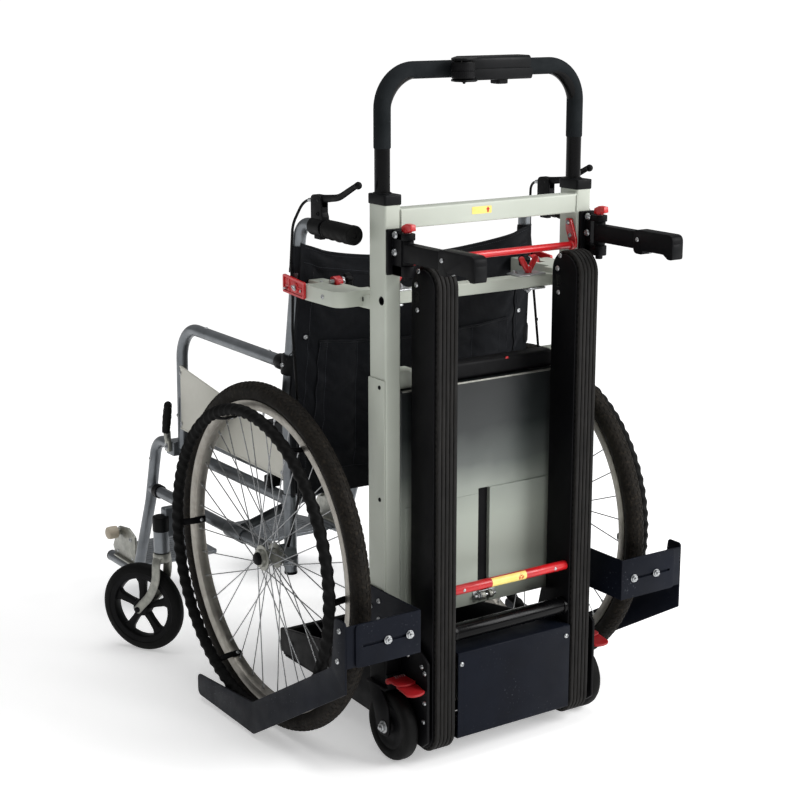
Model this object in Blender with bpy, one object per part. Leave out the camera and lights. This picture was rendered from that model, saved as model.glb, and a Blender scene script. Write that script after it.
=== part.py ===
# Stair chair: a tracked stair-climbing carrier with a folding wheelchair
# clamped to its mast.  Metres, +Z up, +Y the way the sitter faces, +X to the
# sitter's right.  Lengths along Y are written from the mast's rear face and
# moved by Y_MID so that the origin is under the middle of the whole object.
import math

import bmesh
import bpy
from mathutils import Matrix, Vector

# ---------------------------------------------------------------- dimensions
GAP = 0.0003                # clearance between pieces that touch

# mast
MAST_IN, MAST_OUT = 0.179, 0.209      # inner and outer faces of the uprights
MAST_D = 0.046                        # upright depth
MAST_Z0, MAST_Z1 = 0.1296, 0.930      # bottom and top of the box tube
COLLAR_Z = 0.9455                     # top of the plastic collar
MAST_X = (MAST_IN + MAST_OUT) / 2
LEG_R, BORE_R = 0.0126, 0.0131        # handle leg and its bore
LEG_Y = 0.030
BORE_Z = 0.545

# push handle
HANDLE_Z = 1.134
HANDLE_BEND = 0.068
FOAM_R = 0.0138
FOAM_Z = 1.015
LEG_Z0 = 0.62

# crawler
TRACK_X0, TRACK_X1 = 0.1232, 0.1628   # belt sides
RAIL_X0, RAIL_X1 = 0.1195, 0.1665     # outside faces of the side plates
TRACK_Y = -0.0425
TRACK_R = 0.0375
BELT_T = 0.0085
TRACK_ZB, TRACK_ZT = 0.0565, 0.7995
SPROCKET_R = 0.0284
SHAFT_R = 0.008

# carrier wheels
CAST_X, CAST_Y, CAST_R, CAST_W = 0.197, -0.004, 0.060, 0.027

# wheelchair
SIDE_X = 0.248              # side frame tube centre
TOP_X = 0.235               # back posts lean in to this at the push grips
TUBE_R = 0.011
WHEEL_X, WHEEL_Y, WHEEL_R = 0.289, 0.2394, 0.305
TYRE_R = 0.017
HANDRIM_X, HANDRIM_R, HANDRIM_T = 0.332, 0.262, 0.0115
FRONT_R, FRONT_W = 0.0875, 0.028
STEM_X, STEM_Y, TRAIL = 0.300, 0.638, 0.045
SWIVEL = math.radians(31.7)  # the front casters stand turned out by this much

# ends of the object along Y
REAR_Y = -0.222             # tips of the lifting handles
FRONT_Y = 1.030             # front edge of the footplates
Y_MID = (REAR_Y + FRONT_Y) / 2

for ob in list(bpy.data.objects):
    bpy.data.objects.remove(ob, do_unlink=True)

SCENE = bpy.context.scene.collection


# ---------------------------------------------------------------- materials
def finish(name, rgb, rough, metal=0.0):
    m = bpy.data.materials.new(name)
    m.use_nodes = True
    b = m.node_tree.nodes["Principled BSDF"]
    b.inputs["Base Color"].default_value = (*rgb, 1.0)
    b.inputs["Roughness"].default_value = rough
    b.inputs["Metallic"].default_value = metal
    m.diffuse_color = (*rgb, 1.0)
    return m


GREY = finish("grey_paint", (0.60, 0.63, 0.58), 0.45, 0.1)
BLACK = finish("black_powder_coat", (0.012, 0.013, 0.016), 0.5, 0.3)
NAVY = finish("navy_black_coat", (0.013, 0.016, 0.025), 0.45, 0.3)
PLASTIC = finish("black_plastic", (0.014, 0.014, 0.015), 0.55)
RUBBER = finish("black_rubber", (0.016, 0.015, 0.014), 0.8)
RED = finish("red_paint", (0.62, 0.012, 0.016), 0.35)
PEDAL = finish("dark_red_plastic", (0.38, 0.010, 0.012), 0.45)
SILVER = finish("silver_tube", (0.34, 0.36, 0.39), 0.35, 0.8)
STEEL = finish("bright_steel", (0.62, 0.62, 0.62), 0.3, 1.0)
CLOTH = finish("black_nylon", (0.010, 0.011, 0.014), 0.85)


# ---------------------------------------------------------------- geometry
def box(x0, x1, y0, y1, z0, z1):
    bm = bmesh.new()
    bmesh.ops.create_cube(bm, size=1.0)
    for v in bm.verts:
        v.co = ((x0 + x1) / 2 + v.co.x * abs(x1 - x0),
                (y0 + y1) / 2 + v.co.y * abs(y1 - y0),
                (z0 + z1) / 2 + v.co.z * abs(z1 - z0))
    return bm


def rounded(poly, radius, steps=2):
    """Corners of a closed 2-D outline rounded to a radius."""
    out, n = [], len(poly)
    for i, p in enumerate(poly):
        a, b = Vector(poly[i - 1]), Vector(poly[(i + 1) % n])
        p = Vector(p)
        u, w = (a - p), (b - p)
        half = math.acos(max(-1, min(1, u.normalized().dot(w.normalized())))) / 2
        r = radius[i] if isinstance(radius, (list, tuple)) else radius
        cut = min(r / math.tan(half), 0.45 * u.length, 0.45 * w.length) if r else 0
        if cut < 1e-6:
            out.append(tuple(p))
            continue
        s, e = p + u.normalized() * cut, p + w.normalized() * cut
        for k in range(steps + 1):
            t = k / steps
            q = s * (1 - t) ** 2 + p * 2 * t * (1 - t) + e * t ** 2
            out.append((q.x, q.y))
    return out


def prism(poly, axis, a0, a1):
    """Closed 2-D outline pushed along an axis: 'x' takes (y, z), 'y' takes
    (x, z) and 'z' takes (x, y)."""
    def at(p, a):
        return {"x": (a, p[0], p[1]), "y": (p[0], a, p[1]), "z": (p[0], p[1], a)}[axis]
    bm = bmesh.new()
    lo = [bm.verts.new(at(p, a0)) for p in poly]
    hi = [bm.verts.new(at(p, a1)) for p in poly]
    n = len(poly)
    bm.faces.new(lo)
    bm.faces.new(hi)
    for i in range(n):
        bm.faces.new((lo[i], lo[(i + 1) % n], hi[(i + 1) % n], hi[i]))
    return bm


def band(outer, inner, axis, a0, a1):
    """Closed strip between two outlines with the same number of points."""
    def at(p, a):
        return {"x": (a, p[0], p[1]), "y": (p[0], a, p[1]), "z": (p[0], p[1], a)}[axis]
    bm = bmesh.new()
    rings = [[bm.verts.new(at(p, a)) for p in poly]
             for poly, a in ((outer, a0), (outer, a1), (inner, a1), (inner, a0))]
    n = len(outer)
    for r in range(4):
        s, t = rings[r], rings[(r + 1) % 4]
        for i in range(n):
            bm.faces.new((s[i], s[(i + 1) % n], t[(i + 1) % n], t[i]))
    return bm


def lathe(profile, centre, axis, seg=24, closed=False, turn=0.0):
    """Profile of (radius, distance along the axis) turned about the axis."""
    axis = Vector(axis).normalized()
    ref = Vector((0, 0, 1)) if abs(axis.z) < 0.9 else Vector((1, 0, 0))
    side = (ref - axis * ref.dot(axis)).normalized()
    up = axis.cross(side)
    c = Vector(centre)
    bm = bmesh.new()
    rings = []
    for r, a in profile:
        if r < 1e-9:
            rings.append([bm.verts.new(c + axis * a)])
        else:
            rings.append([bm.verts.new(c + axis * a + side * (r * math.cos(turn + 2 * math.pi * k / seg))
                                       + up * (r * math.sin(turn + 2 * math.pi * k / seg)))
                          for k in range(seg)])
    pairs = [(i, i + 1) for i in range(len(rings) - 1)]
    if closed:
        pairs.append((len(rings) - 1, 0))
    for i, j in pairs:
        s, t = rings[i], rings[j]
        for k in range(seg):
            m = (k + 1) % seg
            if len(s) == 1 and len(t) == 1:
                continue
            if len(s) == 1:
                bm.faces.new((s[0], t[m], t[k]))
            elif len(t) == 1:
                bm.faces.new((s[k], s[m], t[0]))
            else:
                bm.faces.new((s[k], s[m], t[m], t[k]))
    return bm


def rod(centre, axis, radius, a0, a1, seg=12):
    return lathe([(0, a0), (radius, a0), (radius, a1), (0, a1)], centre, axis, seg)


def fillet(points, radius, steps=4):
    """A polyline with its corners turned into arcs."""
    pts = [Vector(p) for p in points]
    out = [pts[0]]
    for i in range(1, len(pts) - 1):
        p, u, w = pts[i], pts[i - 1] - pts[i], pts[i + 1] - pts[i]
        ang = u.angle(w)
        cut = min(radius / math.tan(ang / 2), 0.49 * u.length, 0.49 * w.length)
        rr = cut * math.tan(ang / 2)
        s = p + u.normalized() * cut
        mid = (u.normalized() + w.normalized()).normalized()
        c = p + mid * (rr / math.sin(ang / 2))
        sweep_angle = math.pi - ang
        ax = u.cross(w).normalized()
        for k in range(steps + 1):
            q = Matrix.Rotation(-sweep_angle * k / steps, 3, ax) @ (s - c)
            out.append(c + q)
    out.append(pts[-1])
    return out


def pipe(points, radius, seg=12):
    """Round bar along a polyline; radius is one number or one per point."""
    pts = [Vector(p) for p in points]
    rad = radius if isinstance(radius, (list, tuple)) else [radius] * len(pts)
    tan = []
    for i in range(len(pts)):
        a = pts[max(i - 1, 0)]
        b = pts[min(i + 1, len(pts) - 1)]
        d0 = (pts[i] - a).normalized() if i else None
        d1 = (b - pts[i]).normalized() if i < len(pts) - 1 else None
        tan.append(((d0 or d1) + (d1 or d0)).normalized())
    side = tan[0].orthogonal().normalized()
    bm = bmesh.new()
    rings = []
    for i, p in enumerate(pts):
        side = (side - tan[i] * side.dot(tan[i])).normalized()
        up = tan[i].cross(side)
        rings.append([bm.verts.new(p + (side * math.cos(2 * math.pi * k / seg)
                                        + up * math.sin(2 * math.pi * k / seg)) * rad[i])
                      for k in range(seg)])
    for s, t in zip(rings, rings[1:]):
        for k in range(seg):
            bm.faces.new((s[k], s[(k + 1) % seg], t[(k + 1) % seg], t[k]))
    bm.faces.new(rings[0])
    bm.faces.new(rings[-1])
    return bm


def temp(bm):
    bmesh.ops.recalc_face_normals(bm, faces=bm.faces[:])
    me = bpy.data.meshes.new("shape")
    bm.to_mesh(me)
    bm.free()
    ob = bpy.data.objects.new("shape", me)
    SCENE.objects.link(ob)
    return ob


def combine(first, others, how):
    """Boolean of one shape with several others, each in turn."""
    base = temp(first)
    for other in others:
        tool = temp(other)
        mod = base.modifiers.new("join", "BOOLEAN")
        mod.operation = how
        mod.solver = "EXACT"
        mod.object = tool
        dg = bpy.context.evaluated_depsgraph_get()
        dg.update()
        me = bpy.data.meshes.new_from_object(base.evaluated_get(dg))
        base.modifiers.clear()
        base.data = me
        bpy.data.objects.remove(tool, do_unlink=True)
    bm = bmesh.new()
    bm.from_mesh(base.data)
    bmesh.ops.remove_doubles(bm, verts=bm.verts[:], dist=1e-6)
    bpy.data.objects.remove(base, do_unlink=True)
    return bm


def fuse(*shapes):
    return combine(shapes[0], shapes[1:], "UNION")


def cut(shape, *tools):
    return combine(shape, tools, "DIFFERENCE")


def node(name, bm, mat, origin=(0, 0, 0), smooth=None):
    """A named piece, its origin on its joint's axis."""
    o = Vector(origin)
    for v in bm.verts:
        v.co -= o
    bmesh.ops.recalc_face_normals(bm, faces=bm.faces[:])
    me = bpy.data.meshes.new(name)
    bm.to_mesh(me)
    bm.free()
    if smooth:
        me.shade_smooth()
        me.set_sharp_from_angle(angle=math.radians(smooth))
    ob = bpy.data.objects.new(name, me)
    ob.location = o - Vector((0, Y_MID, 0))
    me.materials.append(mat)
    SCENE.objects.link(ob)
    return ob


def track_outline(extra, seg=10, r=TRACK_R):
    """Long closed loop round the two track axles."""
    pts = []
    for c, start in ((TRACK_ZT, 0.0), (TRACK_ZB, math.pi)):
        for k in range(seg + 1):
            a = start + math.pi * k / seg
            pts.append((TRACK_Y + (r + extra) * math.cos(a), c + (r + extra) * math.sin(a)))
    return pts


SIDES = (("left", -1), ("right", 1))

# ---------------------------------------------------------------- mast
for side, s in SIDES:
    tube = box(s * MAST_IN, s * MAST_OUT, 0, MAST_D, MAST_Z0, MAST_Z1)
    collar = box(s * (MAST_IN - 0.0015), s * (MAST_OUT + 0.0015), -0.0015, MAST_D + 0.0015,
                 MAST_Z1 - 0.001, COLLAR_Z)
    sleeve = box(s * (MAST_OUT - 0.001), s * (MAST_OUT + 0.0022), 0.001, MAST_D + 0.0005, 0.232, 0.650)
    mast = fuse(tube, collar, sleeve)
    bore = rod((s * MAST_X, LEG_Y, 0), (0, 0, 1), BORE_R, BORE_Z, COLLAR_Z + 0.02, 16)
    pin_hole = rod((s * MAST_X, 0.0104, 0.778), (s, 0, 0), 0.0064, 0.005, 0.03, 12)
    node(f"upright_{side}", cut(mast, bore, pin_hole), GREY)

node("top_crossbar", box(-MAST_IN + GAP, MAST_IN - GAP, 0, 0.030, 0.891, 0.9226), GREY)
node("crossbar_pad", prism(rounded([(0.014, 0.6285), (0.046, 0.6285), (0.046, 0.658), (0.014, 0.658)], 0.006),
                           "x", -MAST_IN + GAP, MAST_IN - GAP), PLASTIC, smooth=40)

# grey battery housing between the uprights, with a tall finger slot in its rear face
CASE_X, CASE_Y0, CASE_Y1, CASE_Z0, CASE_Z1 = 0.1785, 0.003, 0.098, 0.235, 0.627
node("battery_housing", cut(box(-CASE_X, CASE_X, CASE_Y0, CASE_Y1, CASE_Z0, CASE_Z1),
                            box(-0.0190, 0.0030, CASE_Y0 - 0.01, CASE_Y0 + 0.006, 0.250, 0.440)), GREY)

# ---------------------------------------------------------------- clamp that holds the chair's back posts
CL_Y0, CL_Y1, CL_Z0, CL_Z1 = 0.0660, 0.0920, 0.7575, 0.7785   # crossbar
ARM_Z0, ARM_Z1 = 0.7610, 0.7870                               # cast end arms
ARM_X0, ARM_X1, ARM_END = 0.1975, 0.2555, 0.2275
clamp = [box(-0.2100, 0.2100, CL_Y0, CL_Y1, CL_Z0, CL_Z1)]
for _, s in SIDES:
    clamp.append(prism(rounded([(s * 0.1830, 0.0680), (s * ARM_X1, 0.0680), (s * ARM_X1, 0.1692), (s * ARM_END, 0.1692),
                                (s * ARM_END, 0.2040), (s * ARM_X0, 0.2040), (s * ARM_X0, 0.0900), (s * 0.1830, 0.0900)],
                               [0, 0.022, 0.002, 0.002, 0.004, 0.004, 0, 0], 4), "z", ARM_Z0, ARM_Z1))
    clamp.append(box(s * 0.1810, s * 0.2070, MAST_D + GAP, CL_Y0 + 0.004, CL_Z0 + 0.001, CL_Z1 - 0.001))
    clamp.append(box(s * ARM_X0, s * 0.2320, 0.1350, 0.1610, ARM_Z1 - 0.004, 0.8000))
KNOB_Y, KNOB_Z = 0.1480, 0.7900
sockets = [rod((0, KNOB_Y, KNOB_Z), (s, 0, 0), 0.0044, 0.1845, 0.2285, 10) for _, s in SIDES]
node("clamp_bar", cut(fuse(*clamp), *sockets), GREY, smooth=40)
for side, s in SIDES:
    block = box(s * 0.2290, s * 0.2585, 0.1697, 0.1922, 0.7650, 0.7830)
    plate = prism(rounded([(0.1617, 0.7630), (0.2287, 0.7670), (0.2287, 0.7970), (0.1617, 0.7905)], 0.003, 2), "x",
                  s * 0.2563, s * 0.2613)
    node(f"clamp_jaw_{side}", fuse(block, plate), RED, (s * 0.2585, 0.1810, 0.7740))
    knob = lathe([(0, -0.0300), (0.0040, -0.0300), (0.0040, 0.0008), (0.0070, 0.0008), (0.0070, 0.0050), (0.0125, 0.0060),
                  (0.0125, 0.0170), (0.0090, 0.0190), (0, 0.0190)], (s * ARM_X0, KNOB_Y, KNOB_Z), (-s, 0, 0), 14)
    node(f"clamp_knob_{side}", knob, PLASTIC, (s * ARM_X0, KNOB_Y, KNOB_Z), smooth=40)
    # wing screw on the crossbar
    wx, wy = s * 0.140, 0.0790
    hub = rod((wx, wy, 0), (0, 0, 1), 0.0065, CL_Z1 + GAP, CL_Z1 + 0.016, 12)
    wing = prism([(wx - 0.005, CL_Z1 + 0.006), (wx + 0.005, CL_Z1 + 0.006), (wx + 0.022, CL_Z1 + 0.030),
                  (wx + 0.013, CL_Z1 + 0.034), (wx, CL_Z1 + 0.017), (wx - 0.013, CL_Z1 + 0.034),
                  (wx - 0.022, CL_Z1 + 0.030)], "y", wy - 0.003, wy + 0.003)
    node(f"wing_screw_{side}", fuse(hub, wing), RED, (wx, wy, CL_Z1), smooth=40)

# ---------------------------------------------------------------- push handle
path = fillet([(-MAST_X, LEG_Y, LEG_Z0), (-MAST_X, LEG_Y, HANDLE_Z), (MAST_X, LEG_Y, HANDLE_Z),
               (MAST_X, LEG_Y, LEG_Z0)], HANDLE_BEND, 5)
points, radii = [path[0]], [LEG_R]
for sgn, p in ((0, FOAM_Z - 0.0005), (1, FOAM_Z + 0.0005)):
    points.append(Vector((-MAST_X, LEG_Y, p)))
    radii.append(FOAM_R if sgn else LEG_R)
for p in path[1:-1]:
    points.append(p)
    radii.append(FOAM_R)
for sgn, p in ((1, FOAM_Z + 0.0005), (0, FOAM_Z - 0.0005)):
    points.append(Vector((MAST_X, LEG_Y, p)))
    radii.append(FOAM_R if sgn else LEG_R)
points.append(path[-1])
radii.append(LEG_R)
node("handle_bar", pipe(points, radii, 12), PLASTIC, (0, LEG_Y, COLLAR_Z), smooth=40)

BX0, BX1, BY0, BY1, BZ0, BZ1 = -0.0400, 0.0870, 0.0100, 0.0500, 1.1150, 1.1530
KNOB, KNOB_R = (-0.0660, -0.0075), 0.0185
shell = prism(rounded([(BY0, BZ0), (BY1, BZ0), (BY1, BZ1), (BY0, BZ1)], 0.006), "x", BX0, BX1)
lip = rounded([(BX0 + 0.015, BY0 + 0.002), (BX0 + 0.015, BY1 - 0.006), (BX0 - 0.006, BY1 - 0.006),
               (KNOB[0] - KNOB_R + 0.006, 0.008), (KNOB[0] - KNOB_R - 0.001, KNOB[1] - 0.004),
               (KNOB[0] - 0.011, KNOB[1] - KNOB_R - 0.001), (KNOB[0] + 0.010, KNOB[1] - KNOB_R - 0.002),
               (BX0 - 0.002, KNOB[1] - 0.006)], [0, 0, 0.006, 0.008, 0.010, 0.010, 0.010, 0.008], 2)
lips = [prism(lip, "z", z0, z0 + 0.0034) for z0 in (BZ0 + 0.0006, BZ1 - 0.0042)]
bore = rod((0, LEG_Y, HANDLE_Z), (1, 0, 0), FOAM_R + 0.0004, BX0 - 0.06, BX1 + 0.02, 16)
pocket = box(0.0220, 0.0460, 0.0170, 0.0430, BZ0 - 0.01, BZ0 + 0.0045)
node("control_box", cut(fuse(shell, *lips), bore, pocket), PLASTIC, smooth=35)
node("speed_dial", lathe([(0, BZ0 + 0.0050), (KNOB_R - 0.0015, BZ0 + 0.0050), (KNOB_R, BZ0 + 0.0068), (KNOB_R, BZ1 - 0.0072),
                          (KNOB_R - 0.0015, BZ1 - 0.0054), (0, BZ1 - 0.0054)], (*KNOB, 0), (0, 0, 1), 20),
     PLASTIC, (*KNOB, HANDLE_Z), smooth=40)
node("run_button", box(0.0230, 0.0450, 0.0180, 0.0420, BZ0 - 0.0070, BZ0 + 0.0010), PLASTIC, (0.034, 0.030, BZ0))

# ---------------------------------------------------------------- folding lifting handles
HINGE_Y = -0.032
for side, hx in (("left", -0.188), ("right", 0.203)):
    hinge = (hx, HINGE_Y)
    plate = box(hx - 0.020, hx + 0.0100, -0.0065, -GAP, 0.821, 0.893)
    knuckles = [box(hx - 0.0115, hx + 0.0100, HINGE_Y - 0.0125, -0.004, z0, z1)
                for z0, z1 in ((0.821, 0.8378), (0.8782, 0.893))]
    hole = rod((*hinge, 0), (0, 0, 1), 0.0054, 0.80, 0.91, 10)
    node(f"handle_bracket_{side}", cut(fuse(plate, *knuckles), hole), BLACK)
    # arm with a moulded grip, hooked down at its tip
    eye = rod((*hinge, 0), (0, 0, 1), 0.0118, 0.8384, 0.8776, 12)
    arm = box(hx - 0.0095, hx + 0.0095, -0.140, HINGE_Y, 0.8445, 0.8730)
    tip = REAR_Y
    grip = prism(rounded([(-0.129, 0.8370), (-0.129, 0.8765), (tip, 0.8765), (tip, 0.8365), (tip + 0.012, 0.8365),
                          (tip + 0.022, 0.8435), (-0.152, 0.8435), (-0.150, 0.8370)],
                         [0.006, 0.006, 0.006, 0.006, 0.004, 0.004, 0, 0.006]), "x", hx - 0.0115, hx + 0.0115)
    node(f"lifting_handle_{side}", cut(fuse(arm, eye, grip), rod((*hinge, 0), (0, 0, 1), 0.0054, 0.80, 0.91, 10)),
         BLACK, (*hinge, 0.858), smooth=35)
    pin = rod((*hinge, 0), (0, 0, 1), 0.0050, 0.8150, 0.897, 10)
    lever = prism(rounded([(hx - 0.007, -0.022), (hx + 0.006, -0.022), (hx + 0.007, -0.036), (hx + 0.013, -0.043),
                           (hx + 0.010, -0.049), (hx - 0.004, -0.044)], 0.002, 2), "z", 0.8936, 0.9045)
    node(f"lock_lever_{side}", fuse(pin, lever), RED, (*hinge, 0.893), smooth=35)

# ---------------------------------------------------------------- release bar under the top crossbar
PIV = (0.0150, 0.8705)
rb = [rod((0, 0.0, 0.8365), (1, 0, 0), 0.0055, -0.1740, 0.1740, 12)]
for _, s in SIDES:
    rb.append(prism(rounded([(-0.006, 0.829), (0.008, 0.829), (0.024, 0.862), (0.024, 0.886), (0.008, 0.886),
                             (-0.006, 0.846)], 0.004), "x", s * 0.1715, s * 0.1768))
node("release_bar", fuse(*rb), RED, (0, *PIV), smooth=40)

# ---------------------------------------------------------------- crawler: rails, belts, axles
for side, s in SIDES:
    core = box(s * (RAIL_X0 + 0.001), s * (RAIL_X1 - 0.001), TRACK_Y - 0.026, TRACK_Y + 0.026, 0.110, 0.745)
    inner = prism(track_outline(0, 6, 0.031), "x", s * RAIL_X0, s * (RAIL_X0 + 0.003))
    outer = prism(track_outline(0, 6, 0.031), "x", s * (RAIL_X1 - 0.003), s * RAIL_X1)
    shaft_hole = rod((0, TRACK_Y, TRACK_ZB), (s, 0, 0), SHAFT_R + 0.0004, 0.10, 0.18, 10)
    idler_hole = rod((0, TRACK_Y, TRACK_ZT), (s, 0, 0), 0.0054, 0.10, 0.18, 10)
    node(f"track_rail_{side}", cut(fuse(core, inner, outer), shaft_hole, idler_hole), BLACK, (0, TRACK_Y, TRACK_ZB))
    belt = band(track_outline(0, 10), track_outline(-BELT_T, 10), "x", s * TRACK_X0, s * TRACK_X1)
    node(f"track_belt_{side}", belt, RUBBER, (0, TRACK_Y, TRACK_ZB), smooth=40)
    idler = lathe([(0, RAIL_X0 + 0.0002), (0.0050, RAIL_X0 + 0.0002), (0.0050, TRACK_X0 + 0.001),
                   (SPROCKET_R, TRACK_X0 + 0.001), (SPROCKET_R, TRACK_X1 - 0.001), (0.0050, TRACK_X1 - 0.001),
                   (0.0050, RAIL_X1 - 0.0002), (0, RAIL_X1 - 0.0002)], (0, TRACK_Y, TRACK_ZT), (s, 0, 0), 14)
    node(f"track_idler_{side}", idler, PLASTIC, (0, TRACK_Y, TRACK_ZT), smooth=40)

profile = [(0, -0.1785), (SHAFT_R, -0.1785)]
for lo, hi in ((-TRACK_X1 + 0.001, -TRACK_X0 - 0.001), (TRACK_X0 + 0.001, TRACK_X1 - 0.001)):
    profile += [(SHAFT_R, lo), (SPROCKET_R, lo), (SPROCKET_R, hi), (SHAFT_R, hi)]
profile += [(SHAFT_R, 0.1785), (0, 0.1785)]
node("drive_shaft", lathe(profile, (0, TRACK_Y, TRACK_ZB), (1, 0, 0), 14), STEEL, (0, TRACK_Y, TRACK_ZB), smooth=40)

XB = RAIL_X0 - GAP
node("push_bar", rod((0, -0.062, 0.2965), (1, 0, 0), 0.008, -XB, XB, 12), RED, (0, TRACK_Y, TRACK_ZB), smooth=40)
node("cross_tube", rod((0, -0.058, 0.2215), (1, 0, 0), 0.0145, -XB, XB, 14), BLACK, (0, TRACK_Y, TRACK_ZB), smooth=40)

# ---------------------------------------------------------------- drive unit between the tracks
DC_X = 0.1185
cover = fuse(box(-DC_X, DC_X, -0.0805, -0.0780, 0.042, 0.1928),
             box(-DC_X, DC_X, -0.0790, 0.0096, 0.1903, 0.1930),
             box(-DC_X, DC_X, -0.0790, 0.0096, 0.0415, 0.0440))
node("drive_cover", cover, NAVY)
gearbox = prism(rounded([(-0.072, 0.0445), (-0.004, 0.0445), (-0.004, 0.150), (-0.072, 0.150)], 0.012), "x", 0.030, 0.088)
motor = rod((0, -0.036, 0.1315), (1, 0, 0), 0.038, -0.105, 0.035, 18)
node("drive_motor", cut(fuse(gearbox, motor),
                        rod((0, TRACK_Y, TRACK_ZB), (1, 0, 0), SHAFT_R + 0.0004, -0.2, 0.2, 12)), STEEL, smooth=40)

# ---------------------------------------------------------------- base chassis with the carrier wheels' forks
CH_X0, CH_X1 = 0.1737, 0.1787
chassis = []
for _, s in SIDES:
    chassis.append(prism([(-0.076, 0.046), (-0.076, 0.186), (-0.050, 0.206), (0.046, 0.2305), (0.062, 0.2305),
                          (0.082, 0.150), (0.400, 0.100), (0.400, 0.055), (0.020, 0.040), (-0.060, 0.034)], "x", s * CH_X0, s * CH_X1))
chassis.append(box(-CH_X0 - 0.001, CH_X0 + 0.001, 0.010, 0.390, 0.0450, 0.0490))
chassis.append(box(-CH_X0 - 0.001, CH_X0 + 0.001, 0.0100, 0.0140, 0.0465, 0.1880))
chassis.append(box(-CH_X0 - 0.001, CH_X0 + 0.001, 0.3820, 0.3960, 0.0470, 0.0980))
for _, s in SIDES:
    chassis.append(box(s * (CH_X1 - 0.002), s * 0.2165, -0.008, 0.048, 0.1240, 0.1292))
    chassis.append(box(s * 0.1850, s * 0.2105, -0.0078, -0.0020, 0.1280, 0.1500))
    fork = rounded([(-0.0205, 0.0440), (0.0125, 0.0440), (0.042, 0.126), (0.006, 0.1262), (-0.017, 0.1000)],
                   [0.014, 0.014, 0, 0, 0.012])
    for x0, x1 in ((CH_X1 - 0.001, CH_X1 + 0.0028), (0.2127, 0.2165)):
        chassis.append(prism(fork, "x", s * x0, s * x1))
holes = [rod((0, TRACK_Y, TRACK_ZB), (1, 0, 0), SHAFT_R + 0.0004, -0.2, 0.2, 12)]
holes += [rod((0, CAST_Y, CAST_R), (s, 0, 0), 0.0064, 0.16, 0.23, 10) for _, s in SIDES]
node("base_chassis", cut(fuse(*chassis), *holes), BLACK)
for side, s in SIDES:
    x0, x1 = CAST_X - CAST_W / 2, CAST_X + CAST_W / 2
    wheel = lathe([(0, 0.1780), (0.0060, 0.1780), (0.0060, x0 + 0.003), (0.040, x0 + 0.003), (0.044, x0),
                   (0.055, x0), (CAST_R, x0 + 0.006), (CAST_R, x1 - 0.006), (0.055, x1), (0.044, x1),
                   (0.040, x1 - 0.003), (0.0060, x1 - 0.003), (0.0060, 0.2190), (0, 0.2190)],
                  (0, CAST_Y, CAST_R), (s, 0, 0), 20)
    node(f"carrier_wheel_{side}", wheel, RUBBER, (s * CAST_X, CAST_Y, CAST_R), smooth=40)
    pedal = fuse(prism([(-0.0100, 0.1390), (-0.0100, 0.1465), (-0.020, 0.1490), (-0.050, 0.1475), (-0.054, 0.1425),
                        (-0.078, 0.1395), (-0.080, 0.1355), (-0.052, 0.1375), (-0.030, 0.1420)], "x", s * 0.1800, s * 0.2155),
                 rod((0, -0.0130, 0.1435), (s, 0, 0), 0.0048, 0.1795, 0.2160, 12))
    node(f"brake_pedal_{side}", pedal, PEDAL, (s * CAST_X, -0.0130, 0.1435), smooth=40)

# ---------------------------------------------------------------- wheel brackets and sliding side plates
for side, s in SIDES:
    wall = box(s * 0.2117, s * 0.2147, -0.1050, 0.0800, 0.2250, 0.2970)
    back = box(s * 0.2120, s * 0.3350, -0.1050, -0.1020, 0.2250, 0.2970)
    slot = box(s * 0.2330, s * 0.3240, -0.12, -0.09, 0.2580, 0.2630)
    node(f"wheel_bracket_{side}", cut(fuse(wall, back), slot), NAVY)
    flange = box(s * 0.2360, s * 0.3520, -0.1016, -0.0986, 0.2260, 0.2960)
    outer = prism(rounded([(-0.1016, 0.184), (-0.1016, 0.3030), (-0.0700, 0.3030), (-0.0600, 0.2175), (0.2000, 0.064),
                           (0.4000, 0.050), (0.4000, 0.010), (0.1965, 0.006)],
                          [0.002, 0.006, 0.006, 0.01, 0.02, 0.01, 0.01, 0.01]), "x", s * 0.3500, s * 0.3530)
    node(f"side_plate_{side}", fuse(flange, outer), NAVY, (s * 0.294, -0.100, 0.2605))


# ---------------------------------------------------------------- wheelchair
def yz(s, pts, x=SIDE_X):
    return [(s * x, y, z) for y, z in pts]


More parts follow.
